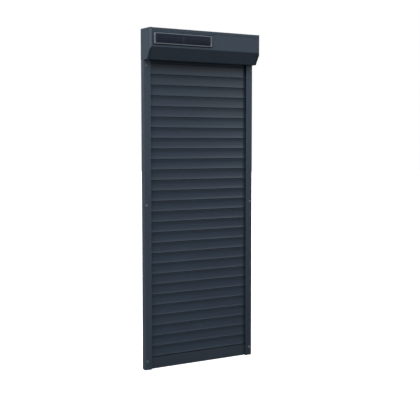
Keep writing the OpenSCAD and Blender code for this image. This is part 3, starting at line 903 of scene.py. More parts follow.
@dataclass(frozen=True)
class Moulded(Finish):
    """Moulded plastic with an eroded grain and paler edges, scuffed and with a painted highlight."""

    gloss: Pair = (-0.07, 0.07)
    relief: Pair = (0.2, 0.2 * MM)
    worn_and_lit: float = 2.2
    pebbles: float = 1500.0

    def inputs(self, graph: Graph) -> dict[str, Any]:
        """Pebbled cells in the normal, slow tone and lighter edges, scuffing with a painted highlight, in the
        colour.

        Args:
            graph: Graph of the material.

        Returns:
            Sockets by input of the shader.
        """
        pebble = graph.add("TexVoronoi", {"Vector": graph.place(), "Scale": self.pebbles})
        coat = COAT_GRAIN.put(graph, Cloud=14.0)
        # Painted highlight on the edges, broken up by noise like scuffing.
        wear_and_painted_light = EDGE_WEAR_AND_PAINTED_LIGHT.put(graph, Scale=220.0, Amount=0.25)["Mask"]
        return {
            "Base Color": self.rubbed_and_lit(graph, wear_and_painted_light, self.toned(graph, coat["Tone"])),
            "Roughness": self.rough(graph, coat["Gloss"]),
            "Normal": self.bump(graph, pebble.outputs["Distance"]),
        }


@dataclass(frozen=True)
class Galvanised(Finish):
    """Zinc-dipped steel with its spangle."""

    tone: Pair = (0.8, 1.2)
    gloss: Pair = (-0.1, 0.12)
    relief: Pair = (0.06, 0.1 * MM)
    crystals: float = 110.0

    def inputs(self, graph: Graph) -> dict[str, Any]:
        """Crystal cells change tone and roughness; fine grain in the normal.

        Args:
            graph: Graph of the material.

        Returns:
            Values and sockets by input of the shader.
        """
        cells = graph.add("TexVoronoi", {"Vector": graph.place(), "Scale": self.crystals})
        crystal = graph.add("SeparateColor", {0: cells.outputs["Color"]}).outputs[0]
        return {
            "Metallic": 1.0,
            "Base Color": self.toned(graph, crystal),
            "Roughness": self.rough(graph, crystal),
            "Normal": self.bump(graph, graph.noise(900.0)),
        }


@dataclass(frozen=True)
class Brushed(Finish):
    """Bare or anodised metal with drawing lines along X."""

    worn_and_lit: float = 1.8
    metallic: float = 1.0
    wear_and_painted_light: float = 0.2
    stretch: Triple = (12.0, 900.0, 900.0)

    def inputs(self, graph: Graph) -> dict[str, Any]:
        """Noise stretched along X gives the lines in tone, roughness and normal.

        Args:
            graph: Graph of the material.

        Returns:
            Values and sockets by input of the shader.
        """
        along = graph.add("Mapping", {"Vector": graph.place(), "Scale": self.stretch}).outputs[0]
        lines = graph.noise(1.0, 4.0, along)
        # Painted highlight on the edges, broken up by noise like scuffing.
        wear_and_painted_light = EDGE_WEAR_AND_PAINTED_LIGHT.put(graph, Scale=150.0, Amount=self.wear_and_painted_light)["Mask"]
        return {
            "Metallic": self.metallic,
            "Base Color": self.rubbed_and_lit(graph, wear_and_painted_light, self.toned(graph, lines)),
            "Roughness": self.rough(graph, lines),
            "Normal": self.bump(graph, lines),
        }


@dataclass(frozen=True)
class SolarCells(Finish):
    """Dark cells behind glass: rows of cells with gaps, fine fingers and bus lines.

    Attributes:
        centre: Middle of the panel, where the cell grid is centred.
        cell: Width and height of one cell.
        gap_w: Width of the gaps between cells, and half that of the middle line.
        bus_w: Width of a bus line.
        finger: Period and width of the fingers.
        specular: Reflection of the glass.
    """

    tone: Pair = (0.8, 1.25)
    gloss: Pair = (-0.05, 0.05)
    centre: Triple = (0.0, 0.0, 0.0)
    cell: Pair = (35.3 * MM, 30.0 * MM)
    gap_w: float = 0.9 * MM
    bus_w: float = 0.5 * MM
    finger: Pair = (1.7 * MM, 0.22 * MM)
    specular: float = 0.14

    def inputs(self, graph: Graph) -> dict[str, Any]:
        """Stripes in X and Z make fingers, bus lines and gaps, laid over each other in that order.

        Args:
            graph: Graph of the material.

        Returns:
            Values and sockets by input of the shader.
        """
        origin = tuple(-value for value in self.centre)
        local = graph.add("Mapping", {"Vector": graph.place(), "Location": origin}).outputs[0]
        axes = graph.add("SeparateXYZ", {0: local}).outputs
        x, z = axes["X"], axes["Z"]

        def lines(coordinate: Socket, period: float, width: float) -> Socket:
            """Mask of lines across one coordinate."""
            return STRIPES.put(graph, Coordinate=coordinate, Period=period, Width=width)["Mask"]

        wide, high = self.cell
        bus = lines(graph.math("ADD", z, high / 4), high / 2, self.bus_w)
        gap = graph.math("MAXIMUM", lines(x, wide, self.gap_w), lines(z, high, self.gap_w))
        middle = graph.math("LESS_THAN", graph.math("ABSOLUTE", x), self.gap_w)
        layers = (
            (lines(x, *self.finger), 0.25, (0.10, 0.11, 0.13)),
            (bus, 0.35, (0.16, 0.17, 0.19)),
            (gap, 0.7, (0.010, 0.011, 0.014)),
            (middle, 0.8, (0.09, 0.095, 0.11)),
        )
        colour = self.toned(graph, graph.noise(24.0, 5.0))
        for mask, amount, shade in layers:
            colour = graph.blend(graph.times(mask, amount), colour, shade)
        rough = self.rough(graph, graph.noise(300.0))
        return {"Base Color": colour, "Roughness": rough, "Specular IOR Level": self.specular}


BOX_COAT = Coat("box_powder_coat", Slot.BOX, (0.037, 0.056, 0.080), 0.44)
# Both rails carry painted light, darker at the foot and lighter at the top.
LEFT_RAIL_COAT = Coat("left_rail_powder_coat", Slot.RAIL, (0.037, 0.055, 0.076), 0.44, height_shading=0.15)
# The right-hand rail's coat is a darker copy of the left-hand one, painted shade.
SHADED_RIGHT_RAIL_COAT = Coat("right_rail_shaded_powder_coat", Slot.RAIL, (0.0295, 0.0450, 0.0655), 0.44, height_shading=0.33)
SLAT_COAT = Coat(
    "slat_lacquer", Slot.SLAT, (0.031, 0.048, 0.069), 0.25,
    relief=(0.06, 0.15 * MM), grain=2400.0, wear_and_painted_light=0.15, dust=0.15,
)
BAR_COAT = Coat("bar_powder_coat", Slot.BAR, (0.0255, 0.0383, 0.0545), 0.44)
RUBBER = Rubber("black_rubber_skin", Slot.RUBBER, (0.005, 0.005, 0.006), 0.72)
BLACK_PLASTIC = Moulded("black_moulding", Slot.BLACK_PLASTIC, (0.014, 0.015, 0.017), 0.52)
GREY_PLASTIC = Moulded("grey_moulding", Slot.GREY_PLASTIC, (0.040, 0.056, 0.076), 0.40)
# The caps are a lighter copy of the grey moulding, to paint the highlight on their ring.
LIT_CAP_PLASTIC = Moulded("lit_polished_cap_moulding", Slot.GREY_PLASTIC, (0.110, 0.128, 0.148), 0.24)
ZINC = Galvanised("zinc_dipped_steel", Slot.ZINC, (0.42, 0.44, 0.46), 0.40)
BRIGHT = Brushed("bright_screw_steel", Slot.BRIGHT, (0.55, 0.56, 0.58), 0.30)
MOTOR_SHELL = Brushed("drawn_motor_tube", Slot.MOTOR, (0.60, 0.61, 0.62), 0.38)
BEZEL = Brushed("anodised_bezel", Slot.PANEL, (0.14, 0.165, 0.19), 0.42, metallic=0.35, wear_and_painted_light=0.35)
SLEEVE = Moulded("battery_sleeve", Slot.BATTERY, (0.030, 0.032, 0.035), 0.40)
CELLS = SolarCells("solar_cells_behind_glass", Slot.CELLS, (0.012, 0.016, 0.028), 0.40)


def publish(
    shell: Shell, name: str, body: Body, finish: Finish, *nodes: str, drills: Shell | None = None
) -> bpy.types.Object:
    """Makes a new piece with its finish, its body and the solids that it stands for.

    Args:
        shell: Surface of the piece.
        name: Its name.
        body: Body that it rides on.
        finish: Its finish.
        *nodes: Solids that it replaces.
        drills: Holes to bore.

    Returns:
        The piece.
    """
    obj = shell.to_object(name)
    if drills is not None:
        bore(obj, drills)
    obj.data.materials.clear()
    obj.data.materials.append(finish.material())
    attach(obj, body.value)
    if nodes:
        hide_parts(*nodes)
    log.info("%s: %d faces on %s", name, len(obj.data.polygons), body.value)
    return obj


@dataclass(frozen=True)
class Layout:
    """Places that several sub-assemblies share, in metres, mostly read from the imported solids."""

    x_end: float
    x_rail: float
    x_slat: float
    x_bar: float
    y_curtain: float
    rail_w: float
    rail_d: float
    z_foot: float
    z_box: float
    z_top: float
    wall: float = 1.8 * MM
    channel: float = 22.0 * MM
    post_wall: float = 3.0 * MM
    post_r: float = 0.8 * MM

    @classmethod
    def measured(cls) -> "Layout":
        """Reads the places from the solids' boxes.

        Returns:
            The layout.
        """
        cheek, rail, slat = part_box("right_cheek"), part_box("right_rail"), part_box("slat_01")
        feet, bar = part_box("rail_feet"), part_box("end_bar")
        return cls(
            x_end=cheek[1].x, x_rail=rail[1].x, x_slat=slat[1].x, x_bar=bar[1].x,
            y_curtain=(bar[0].y + bar[1].y) / 2, rail_w=rail[1].x - rail[0].x,
            rail_d=rail[1].y - rail[0].y, z_foot=feet[0].z, z_box=rail[1].z, z_top=cheek[1].z,
        )

    @property
    def x_mouth(self) -> float:
        """Inner side of the right-hand rail."""
        return self.x_rail - self.rail_w

    def chamber(self, gap: float) -> Array:
        """Corners of the right-hand rail's chamber in (X, Y), drawn in by a gap."""
        low = (self.x_mouth + self.channel + self.wall + gap, self.wall + gap - self.rail_d)
        return rectangle(low, (self.x_rail - self.wall - gap, -self.wall - gap))

    def post(self, low: float, high: float) -> Shell:
        """Hollow post that sits in the right-hand rail's chamber.

        Args:
            low: Its lower end.
            high: Its upper end.

        Returns:
            The closed surface.
        """
        outer = self.chamber(FIT)
        inner = Outline.rounded(drawn_in(outer, self.post_wall), self.post_r).hole()
        return Shell.prism([Outline.rounded(outer, self.post_r), inner], Axis.Z, low, high)


@dataclass(frozen=True)
class Hook:
    """Bead on top of a slat or bar, and the cup above it that takes the bead."""

    y: float = -0.585 * MM
    rise: float = 5.7 * MM
    bead: float = 1.6 * MM
    neck: float = 1.2 * MM
    play: float = 0.4 * MM
    bead_steps: int = 16
    cup_steps: int = 14

    @property
    def top(self) -> float:
        """Height of the cup's top over the joint."""
        return self.rise + self.bead + self.play

    def line(self, joint: float, shoulder: float, play: float, steps: int) -> tuple[Array, Array]:
        """Neck and bead: from the right-hand shoulder round the arc to the left-hand one.

        Args:
            joint: Height of the joint.
            shoulder: Height of the face that the neck stands on.
            play: Room added all round.
            steps: Points on the arc.

        Returns:
            The points and the corner radius at each.
        """
        radius, half = self.bead + play, self.neck / 2 + play
        opening = math.asin(half / radius)
        angle = np.linspace(opening - QUARTER, 3 * QUARTER - opening, steps)
        arc = turned(angle, radius) + (self.y, joint + self.rise)
        points = np.vstack([[self.y + half, shoulder], arc, [self.y - half, shoulder]])
        return points, np.concatenate([[BURR], np.zeros(steps), [BURR]])

    def bead_line(self, joint: float, shoulder: float) -> tuple[Array, Array]:
        """Neck and bead on a shoulder, with the corner radii."""
        return self.line(joint, shoulder, 0.0, self.bead_steps)

    def cup_line(self, floor: float) -> tuple[Array, Array]:
        """Slot and cup over a joint at zero, run the other way round, with the corner radii."""
        points, radii = self.line(0.0, floor, self.play, self.cup_steps)
        return points[::-1], radii


@dataclass
class Curtain:
    """Hooked slats with their end clips, and the links that hang them on the tube."""

    layout: Layout
    hook: Hook
    count: int = 29
    pitch: float = 70.4 * MM
    thick: float = 8.0 * MM
    bow: float = 2.2 * MM
    curl: float = 0.7
    # Strength of the shade painted on a slat's front under the joint above, and the share of the pitch where
    # it begins.
    painted_shade: float = 0.5
    shade_from: float = 0.6
    side_steps: int = 25
    gap: float = 3.0 * MM
    wall: float = 1.0 * MM
    front_r: Pair = (1.1 * MM, 0.6 * MM)
    rear_r: float = 0.6 * MM
    hollow_r: float = 0.8 * MM
    hollow_steps: int = 4
    clip_t: float = 1.8 * MM
    clip_tongue: float = 12.0 * MM
    tongue_r: float = 0.6 * MM
    link_w: float = 12.0 * MM
    link_t: float = 5.6 * MM
    link_r: float = 0.6 * MM
    shoe_r: float = 0.5 * MM
    eye_r: float = 4.5 * MM
    pin_r: float = 2.45 * MM
    eye_sides: int = 32
    packed: float = 0.03

    @property
    def z_joint(self) -> float:
        """Height of the joint under the lowest slat."""
        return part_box("slat_01")[0].z - self.gap / 2

    @property
    def half(self) -> float:
        """Half the height of a slat's body."""
        return (self.pitch - self.gap) / 2

    def side(self, depth: float, a: float, b: float, curl: float = 0.0) -> Array:
        """Curved side: at share s of the half height it lies at depth - bow s squared.

        In the lower half a share of the curve, the curl, goes by the fourth power of s instead,
        so that it lies flatter at first and turns up more near the lower edge.

        Args:
            depth: Depth of the side at mid height.
            a: First share, -1 at the lower edge.
            b: Last share, 1 at the upper edge.
            curl: Share of the fourth power.

        Returns:
            The points from share a to share b.
        """
        s = np.linspace(a, b, self.side_steps)
        rise = s**2 + np.where(s < 0, curl, 0.0) * (s**4 - s**2)
        return np.column_stack([depth - self.bow * rise, self.pitch / 2 + s * self.half])

    def band(self, skin: float, trim: float, radius: float) -> Outline:
        """Outline between both curved sides over the height of the slat's hollow.

        Args:
            skin: Distance from the slat's faces.
            trim: Distance from the hollow's ends.
            radius: Corner radius.

        Returns:
            The closed outline.
        """
        low = -1 + (self.hook.top - self.gap / 2 + 2 * self.wall + trim) / self.half
        high = 1 - (2 * self.wall + trim) / self.half
        rear = self.side(self.thick / 2 - skin, low, high)
        front = self.side(self.bow - self.thick / 2 + skin, high, low)
        radii = np.zeros(2 * self.side_steps)
        radii[[0, self.side_steps - 1, self.side_steps, -1]] = radius
        return Outline.rounded(np.vstack([rear, front]), radii, self.hollow_steps)

    def section(self) -> list[Outline]:
        """Section of one slat, with its lower joint at zero height.

        Shade is painted on the front under the joint above it, less and less down to a share of the pitch,
        and in full in the cup and between the slats.

        Returns:
            The outer line and the hollow.
        """
        low, high = self.gap / 2, self.pitch - self.gap / 2
        cup, cup_radii = self.hook.cup_line(low)
        bead, bead_radii = self.hook.bead_line(self.pitch, high)
        rear = self.side(self.thick / 2, -1, 1)
        front = self.side(self.bow - self.thick / 2, 1, -1, self.curl)
        rear_radii, front_radii = np.zeros(len(rear)), np.zeros(len(front))
        rear_radii[[0, -1]] = self.rear_r
        front_radii[[0, -1]] = self.front_r
        radii = np.concatenate([cup_radii, rear_radii, bead_radii, front_radii])
        outer = Outline.rounded(np.vstack([cup, rear, bead, front]), radii)
        y, z = outer.points.T
        cup_r = self.hook.bead + 2 * self.hook.play
        in_cup = np.hypot(y - self.hook.y, z - self.hook.rise) < cup_r
        between = (z < low + NEAR) | (z > high - NEAR)
        # Painted shade: full in the cup and between the slats, fading in under the joint above.
        under = np.clip((z / self.pitch - self.shade_from) / (1 - self.shade_from), 0, 1) * (y < 0)
        depth = np.maximum(in_cup | between, self.painted_shade * under)
        return [outer.recessed(depth), self.band(self.wall, 0.0, self.hollow_r).hole()]

    def build(self) -> None:
        """Builds the slats, the end clips and the links."""
        x = self.layout.x_slat
        slat = Shell.prism(self.section(), Axis.X, -x, x)
        for index in range(self.count):
            name = f"slat_{index + 1:02d}"
            place = spots(0.0, self.layout.y_curtain, self.z_joint + index * self.pitch)
            self.hang(slat.copies(place), name + "_lacquered", SLAT_COAT, name)
        self.hang(self.clips(), "slat_end_clips_moulded", BLACK_PLASTIC, "slat_end_clips")
        self.hang(self.links(), "lock_links_moulded", BLACK_PLASTIC, "lock_links")

    def hang(self, shell: Shell, name: str, finish: Finish, node: str) -> None:
        """Makes a piece of the curtain on the curtain's body, with a mesh of its own."""
        obj = publish(shell, name, Body.CURTAIN, finish, node)
        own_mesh(obj)

    def clips(self) -> Shell:
        """Plastic ends of every second slat: a plate over the end and a tongue in the hollow.

        Returns:
            All clips.
        """
        x = self.layout.x_slat
        plate = Shell.prism([self.band(0.0, 0.0, self.hollow_r)], Axis.X, x, x + self.clip_t)
        tongue_line = self.band(self.wall + FIT, FIT, self.tongue_r)
        tongue = Shell.prism([tongue_line], Axis.X, x - self.clip_tongue, x)
        rows = np.arange(0, self.count, 2) * self.pitch + self.z_joint
        places = spots(0.0, self.layout.y_curtain, rows)
        return Shell.joined([plate, tongue]).copies(places).both_sides()

    def links(self) -> Shell:
        """Links between tube and topmost slat: an eye, a bar and a foot with the hook's cup.

        Returns:
            Both links.
        """
        low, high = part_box("lock_links")
        pin = np.array([low.y + self.eye_r, high.z - self.eye_r])
        joint = np.array([self.layout.y_curtain, self.z_joint + self.count * self.pitch])
        angle = circle(self.eye_sides)
        eye, bore_line = (
            Outline(turned(angle, r) + pin, turned(angle, 1.0), np.zeros(self.eye_sides))
            for r in (self.eye_r, self.pin_r)
        )
        along = unit(joint + (self.hook.y, self.hook.rise) - pin)
        half = self.link_t / 2
        across = left_of(along[None])[0] * half
        top, end = pin + along * (self.eye_r - self.wall), joint + (self.hook.y, self.hook.top)
        bar = Outline.rounded(np.array([top - across, end - across, end + across, top + across]), self.link_r)
        cup, radii = self.hook.cup_line(self.gap / 2)
        rim = np.roll(rectangle((-half, self.gap / 2), (half, self.hook.top + 2 * self.wall)), -1, 0)
        shoe_line = np.vstack([cup, rim + (self.hook.y, 0)])
        shoe = Outline.rounded(shoe_line, np.concatenate([radii, np.full(4, self.shoe_r)])).moved(*joint)
        x = self.link_w / 2
        parts = [Shell.prism(lines, Axis.X, -x, x) for lines in ([eye, bore_line.hole()], [bar], [shoe])]
        reach = (high.x - low.x) / 2 - x
        return Shell.joined(parts).copies(spots(np.array([-reach, reach]), 0.0, 0.0))


@dataclass
class BottomBar:
    """Flat end bar with its rubber bulb and its two end covers."""

    layout: Layout
    hook: Hook
    height: float = 83.0 * MM
    thick: float = 12.0 * MM
    wall: float = 1.5 * MM
    slat_gap: float = 3.0 * MM
    gap: float = 6.5 * MM
    rear_r: Pair = (1.2 * MM, 1.0 * MM)
    front_r: Pair = (1.8 * MM, 1.4 * MM)
    shade_share: float = 0.8
    room_r: float = 0.8 * MM
    seal_show: float = 4.0 * MM
    seal_r: float = 4.6 * MM
    seal_steps: int = 24
    slot_r: float = 0.2 * MM
    cap_t: float = 3.0 * MM
    cap_r: float = 1.1 * MM
    tongue_t: float = 8.0 * MM
    tongue_low: float = 8.0 * MM
    tongue_r: float = 1.5 * MM
    plug: float = 12.0 * MM
    plug_r: float = 0.8 * MM

    @property
    def head(self) -> float:
        """Height of the bar's upper face above the foot."""
        return self.height + self.slat_gap / 2 - self.gap

    @property
    def floor(self) -> float:
        """Height of the hollow's floor above the foot."""
        return self.seal_show + 4 * self.wall + 2 * FIT

    def slot_line(self, gap: float) -> Array:
        """T-shaped slot that holds the rubber, from its left-hand lip round to its right-hand one.

        Args:
            gap: Extra room all round.

        Returns:
            The points.
        """
        throat, head = self.seal_r / 2 + gap, self.seal_r - self.wall / 2 + gap
        low, high = self.seal_show + self.wall - gap, self.seal_show + 2 * self.wall + gap
        left = np.array([[-throat, self.seal_show], [-throat, low], [-head, low], [-head, high]])
        return np.vstack([left, left[::-1] * (-1, 1)])

    def build(self) -> None:
        """Builds the bar, its rubber and its end covers; shade is painted on the bar's upper edge in the gap.
        """
        x, place = self.layout.x_bar, (self.layout.y_curtain, self.layout.z_foot)
        half, inner = self.thick / 2, self.thick / 2 - self.wall
        bead, bead_radii = self.hook.bead_line(self.height, self.head)
        slot = self.slot_line(FIT)
        rear = [[half, self.seal_show], [half, self.head]]
        front = [[-half, self.head], [-half, self.seal_show]]
        radii = np.concatenate([np.full(len(slot), self.slot_r), self.rear_r, bead_radii, self.front_r])
        outer = Outline.rounded(np.vstack([slot, rear, bead, front]), radii)
        # Painted shade on the bar's upper edge, in the gap under the lowest slat.
        outer = outer.recessed(outer.points[:, 1] > self.head - self.shade_share * self.front_r[0])
        room = Outline.rounded(rectangle((-inner, self.floor), (inner, self.head - self.wall)), self.room_r)
        bar = Shell.prism([outer.moved(*place), room.moved(*place).hole()], Axis.X, -x, x)
        publish(bar, "end_bar_coated", Body.CURTAIN, BAR_COAT, "end_bar")
        publish(self.seal(), "bar_seal_rubber", Body.CURTAIN, RUBBER, "bar_seal")
        publish(self.covers(), "bar_end_covers_moulded", Body.CURTAIN, GREY_PLASTIC, "bar_end_caps")

    def seal(self) -> Shell:
        """Rubber bulb: a round belly of radius r on its centre at height r, and a T-shaped stem.

        Returns:
            The seal.
        """
        x, rise = self.layout.x_bar, math.asin((self.seal_r - self.seal_show) / self.seal_r)
        angle = np.linspace(np.pi + rise, 2 * np.pi - rise, self.seal_steps)
        belly, stem = turned(angle, self.seal_r) + (0, self.seal_r), self.slot_line(0.0)[::-1]
        radii = np.full(len(belly) + len(stem), self.slot_r)
        radii[1:len(belly) - 1] = 0.0
        line = Outline.rounded(np.vstack([belly, stem]), radii)
        return Shell.prism([line.moved(self.layout.y_curtain, self.layout.z_foot)], Axis.X, -x, x)

    def covers(self) -> Shell:
        """End covers with the tongue that runs in the rail and the plug in the bar's hollow.

        Returns:
            Both covers.
        """
        x, y, z = self.layout.x_bar, self.layout.y_curtain, self.layout.z_foot
        half, tongue, inner = self.thick / 2, self.tongue_t / 2, self.thick / 2 - self.wall - FIT
        cover = Shell.slab(
            (x, y - half, z + self.seal_show), (x + self.cap_t, y + half, z + self.head), self.cap_r
        )
        runner = Shell.slab(
            (x + self.cap_t / 2, y - tongue, z + self.tongue_low),
            (self.layout.x_slat, y + tongue, z + self.head - self.tongue_low), self.tongue_r,
        )
        plug = Shell.slab(
            (x - self.plug, y - inner, z + self.floor + FIT),
            (x + self.cap_t / 2, y + inner, z + self.head - self.wall - FIT), self.plug_r,
        )
        return Shell.joined([cover, runner, plug]).both_sides()


@dataclass(frozen=True)
class Screw:
    """Pan-head screw with a six-sided socket.

    Attributes:
        shank_r: Radius of the shank.
        head_r: Radius of the head.
        head_h: Height of the head.
        sides: Points round it.
        dome_steps: Rings from the head's rim to its crown.
        tip: Share of the shank's radius that is left at its tip, and the tip's length by it.
        brow: Share of the head's radius taken by its dome, and of its height.
        socket: Half width of the socket by the head's radius, and the factor at its mouth.
        depths: Height of the socket's mouth, edge and floor, by the head's height.
        socket_edge: Edge mask of those three rings.
    """

    shank_r: float
    head_r: float
    head_h: float
    sides: int = 36
    dome_steps: int = 6
    tip: Pair = (0.8, 0.3)
    brow: Pair = (0.2, 0.45)
    socket: Pair = (0.38, 1.08)
    depths: Triple = (1.0, 0.92, 0.4)
    socket_edge: Triple = (1.0, 0.4, 0.0)

    def shell(self, shank: float, axis: Axis) -> Shell:
        """Turned screw with its head below the origin and its shank above.

        Rings run from the shank's tip over the head to the socket's floor. The socket's radius
        at angle a is w / cos(a mod 60 degrees - 30 degrees), where w is half its width.

        Args:
            shank: Length of the shank.
            axis: Axis of the screw.

        Returns:
            The closed surface.
        """
        hexagon = self.socket[0] * self.head_r / np.cos(circle(self.sides) % (np.pi / 3) - np.pi / 6)
        dome = np.linspace(0, QUARTER, self.dome_steps)[1:]
        stem = self.shank_r * np.array([self.tip[0], 1.0, 1.0])
        head = self.head_r * np.concatenate([[1.0], 1 - self.brow[0] * (1 - np.cos(dome))])
        drop = -self.head_h + self.brow[1] * self.head_h * (1 - np.sin(dome))
        rings = np.concatenate([stem, head])[:, None] * np.ones(self.sides)
        radii = np.vstack([rings, hexagon * self.socket[1], hexagon, hexagon])
        shoulder = [shank, shank - self.tip[1] * self.shank_r, 0.0, 0.0]
        heights = np.concatenate([shoulder, drop, -self.head_h * np.array(self.depths)])
        edge = np.concatenate([np.zeros(len(stem)), np.ones(len(head)), self.socket_edge])
        return Shell.lathe(radii, heights, axis, self.sides, edge)


@dataclass
class HeadBox:
    """Chamfered box: two rimmed cheeks, a folded top cover, a folded hatch and its screws."""

    layout: Layout
    depth: float = 136.0 * MM
    front_h: float = 125.0 * MM
    soffit_d: float = 86.0 * MM
    sheet_t: float = 1.5 * MM
    cheek_t: float = 4.0 * MM
    rim_w: float = 12.0 * MM
    rim_t: float = 1.6 * MM
    slant_depths: tuple[float, ...] = (0.4 * MM, 0.8 * MM, 10.0 * MM, 0.4 * MM, 0.4 * MM)
    slant_power: float = 1.25
    edge_r: float = 1.2 * MM
    edge_wear_and_painted_light: Pair = (0.5, 0.25)
    edge_steps: int = 6
    face_steps: int = 12
    lip_steps: int = 7
    corner_radii: tuple[float, ...] = (1.7 * MM, 1.8 * MM, 2.0 * MM, 2.6 * MM, 2.6 * MM)
    strip_w: float = 2.4 * MM
    strip_up: float = 0.3 * MM
    strip_down: float = 0.6 * MM
    lip_h: float = 21.0 * MM
    seam: float = 2.0 * MM
    lap: float = 9.0 * MM
    hatch_lip: float = 14.0 * MM
    bend: float = 1.9 * MM
    spigot: float = 24.0 * MM
    guide_t: float = 2.4 * MM
    lug: Triple = (24.0 * MM, 16.0 * MM, 8.0 * MM)
    lug_r: float = 0.6 * MM
    screw: Screw = Screw(2.0 * MM, 4.0 * MM, 1.6 * MM)
    screw_grip: float = 3.0 * MM
    bracket_t: float = 4.0 * MM
    bracket_screw: float = 25.0 * MM

    def outline(self) -> Array:
        """Corners of the box's section, counter-clockwise from the lower back one."""
        low, high, y = self.layout.z_box, self.layout.z_top, -self.depth
        return np.array([[0, low], [0, high], [y, high], [y, high - self.front_h], [-self.soffit_d, low]])

    def build(self) -> None:
        """Builds the cheeks, the two folded sheets, black strips of painted shade beside the rims and the
        screws.
        """
        cheek = self.cheek()
        publish(cheek, "right_cheek_coated", Body.FRAME, BOX_COAT, "right_cheek")
        publish(cheek.mirrored(), "left_cheek_coated", Body.FRAME, BOX_COAT, "left_cheek")
        outer = drawn_in(self.outline(), self.rim_t)
        y_front, z_soffit = outer[2, 0], outer[4, 1]
        y_tuck, y_back = y_front + self.sheet_t + FIT, -self.layout.rail_d - 2 * SLIDE
        z_seam = self.layout.z_top - self.lip_h
        z_fold = z_seam - self.seam
        cover = Outline.sheet(np.vstack([outer[:3], [y_front, z_seam]]), self.sheet_t, self.bend)
        hatch_path = np.array([
            [y_tuck, z_seam + self.lap], [y_tuck, z_fold], [y_front, z_fold - self.sheet_t - FIT],
            outer[3], outer[4], [y_back, z_soffit], [y_back, z_soffit + self.hatch_lip],
        ])
        hatch = Outline.sheet(hatch_path, self.sheet_t, self.bend)
        # Painted shade in the seam: the hatch's top behind the cover's lip.
        hatch = hatch.recessed(hatch.points[:, 1] > z_fold - FIT)
        x = self.layout.x_end - self.rim_w + self.strip_w / 2
        for line, node in ((cover, "top_cover"), (hatch, "front_hatch")):
            publish(Shell.prism([line], Axis.X, -x, x), node + "_folded", Body.FRAME, BOX_COAT, node)
        # Black strips beside both rims, painted shade for the gap between rim and sheets.
        publish(self.strips(), "cheek_shade_strips", Body.FRAME, RUBBER)
        publish(self.screws(z_soffit), "box_screws_turned", Body.FRAME, BRIGHT, "box_screws")

    def strips(self) -> Shell:
        """Thin black strips that run round the sheets beside both rims, painted shade for the gap between rim
        and sheets.

        Returns:
            Both strips.
        """
        outer, inner = (
            Outline.rounded(drawn_in(self.outline(), self.rim_t + inset), self.corner_radii)
            for inset in (-self.strip_up, self.strip_down)
        )
        x = self.layout.x_end - self.rim_w
        return Shell.prism([outer, inner.hole()], Axis.X, x - self.strip_w, x + self.strip_down).both_sides()

    def slant(self, away: Array) -> Array:
        """Depth that each side is drawn in, by the share of the rim left, to a power."""
        return (1 - away / self.rim_w)[:, None] ** self.slant_power * np.array(self.slant_depths)

    def cheek(self) -> Shell:
        """Right-hand cheek: a cup whose section is the box's outline.

        Over the rim each side of the outline is drawn in by its own depth times (1 - w) to a
        power, where w is the share of the rim's width inside the end. The end's edge is a
        quarter round on top of that. The wall goes on round the rim's end and back inside to
        the plate.

        Returns:
            The closed surface, with ledge, spigot and lug.
        """
        turn, lip = np.linspace(0, QUARTER, self.edge_steps), np.linspace(0, np.pi, self.lip_steps)
        lip_r = self.rim_t / 2
        face_w = self.rim_w - lip_r
        corner = self.edge_r * (1 - np.cos(turn))
        face = face_w - (face_w - self.edge_r) * np.linspace(1, 0, self.face_steps)[1:] ** 2
        inner = np.linspace(self.rim_w - self.rim_t, self.cheek_t, self.edge_steps)
        away = np.concatenate([corner, face, self.rim_w - lip_r * (1 - np.sin(lip)), inner])
        inward = np.concatenate([
            self.edge_r * (1 - np.sin(turn)), np.zeros(len(face)),
            lip_r * (1 - np.cos(lip)), np.full(len(inner), self.rim_t),
        ])
        insets = self.slant(away) + inward[:, None]
        insets = np.vstack([insets[:1] + self.cheek_t, insets])
        stations = self.layout.x_end - np.concatenate([[0.0], away])
        lines = [Outline.rounded(drawn_in(self.outline(), inset), self.corner_radii) for inset in insets]
        mask = np.zeros((len(lines), len(lines[0].points)))
        # Painted highlight on the rim, broken up like scuffing: most where the box's corners round, the least
        # over the rest.
        most, least = self.edge_wear_and_painted_light
        mask[1:len(corner) + len(face)] = np.maximum(most * lines[0].edge, least)
        cup = Shell.loft(np.stack([line.points for line in lines]), stations, Axis.X, mask)
        return Shell.joined([cup, *self.cheek_insides()])

    def cheek_insides(self) -> list[Shell]:
        """Ledge on the rail, hollow spigot in the rail and lug for the hatch's screw.

        Returns:
            The three closed surfaces of the right-hand side.
        """
        lay, skin = self.layout, self.rim_t + self.sheet_t
        x_plate, x_ledge = lay.x_end - self.cheek_t, lay.x_mouth + lay.channel + self.guide_t + SLIDE
        ledge_high = (x_plate, -skin - FIT, lay.z_box + self.cheek_t)
        ledge = Shell.slab((x_ledge, -lay.rail_d, lay.z_box), ledge_high, self.lug_r)
        y_lug, floor, half = -self.soffit_d + self.lug[1], lay.z_box + skin, self.lug[1] / 2
        lug_high = (x_plate, y_lug + half, floor + self.lug[2])
        lug = Shell.slab((x_plate - self.lug[0], y_lug - half, floor), lug_high, self.lug_r)
        return [ledge, lay.post(lay.z_box - self.spigot, lay.z_box), lug]

    def screws(self, z_soffit: float) -> Shell:
        """Pan-head screws of hatch and brackets.

        Args:
            z_soffit: Height of the hatch's underside.

        Returns:
            All ten screws.
        """
        lay, x_grip = self.layout, self.rim_w + 2 * self.screw.head_r
        upright = self.screw.shell(self.sheet_t + self.screw_grip, Axis.Z)
        hatch = upright.copies(spots(lay.x_end - x_grip, self.lug[1] - self.soffit_d, z_soffit))
        lying = self.screw.shell(self.bracket_t + self.screw_grip, Axis.X)
        middle = sum(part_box("bearing_bracket"), Vector()) / 2
        spread = np.array([[a, b] for a in (-1, 1) for b in (-1, 1)]) * self.bracket_screw
        x = lay.x_end - self.cheek_t - self.bracket_t
        places = spots(x, middle.y + spread[:, 0], middle.z + spread[:, 1])
        return Shell.joined([hatch, lying.copies(places)]).both_sides()


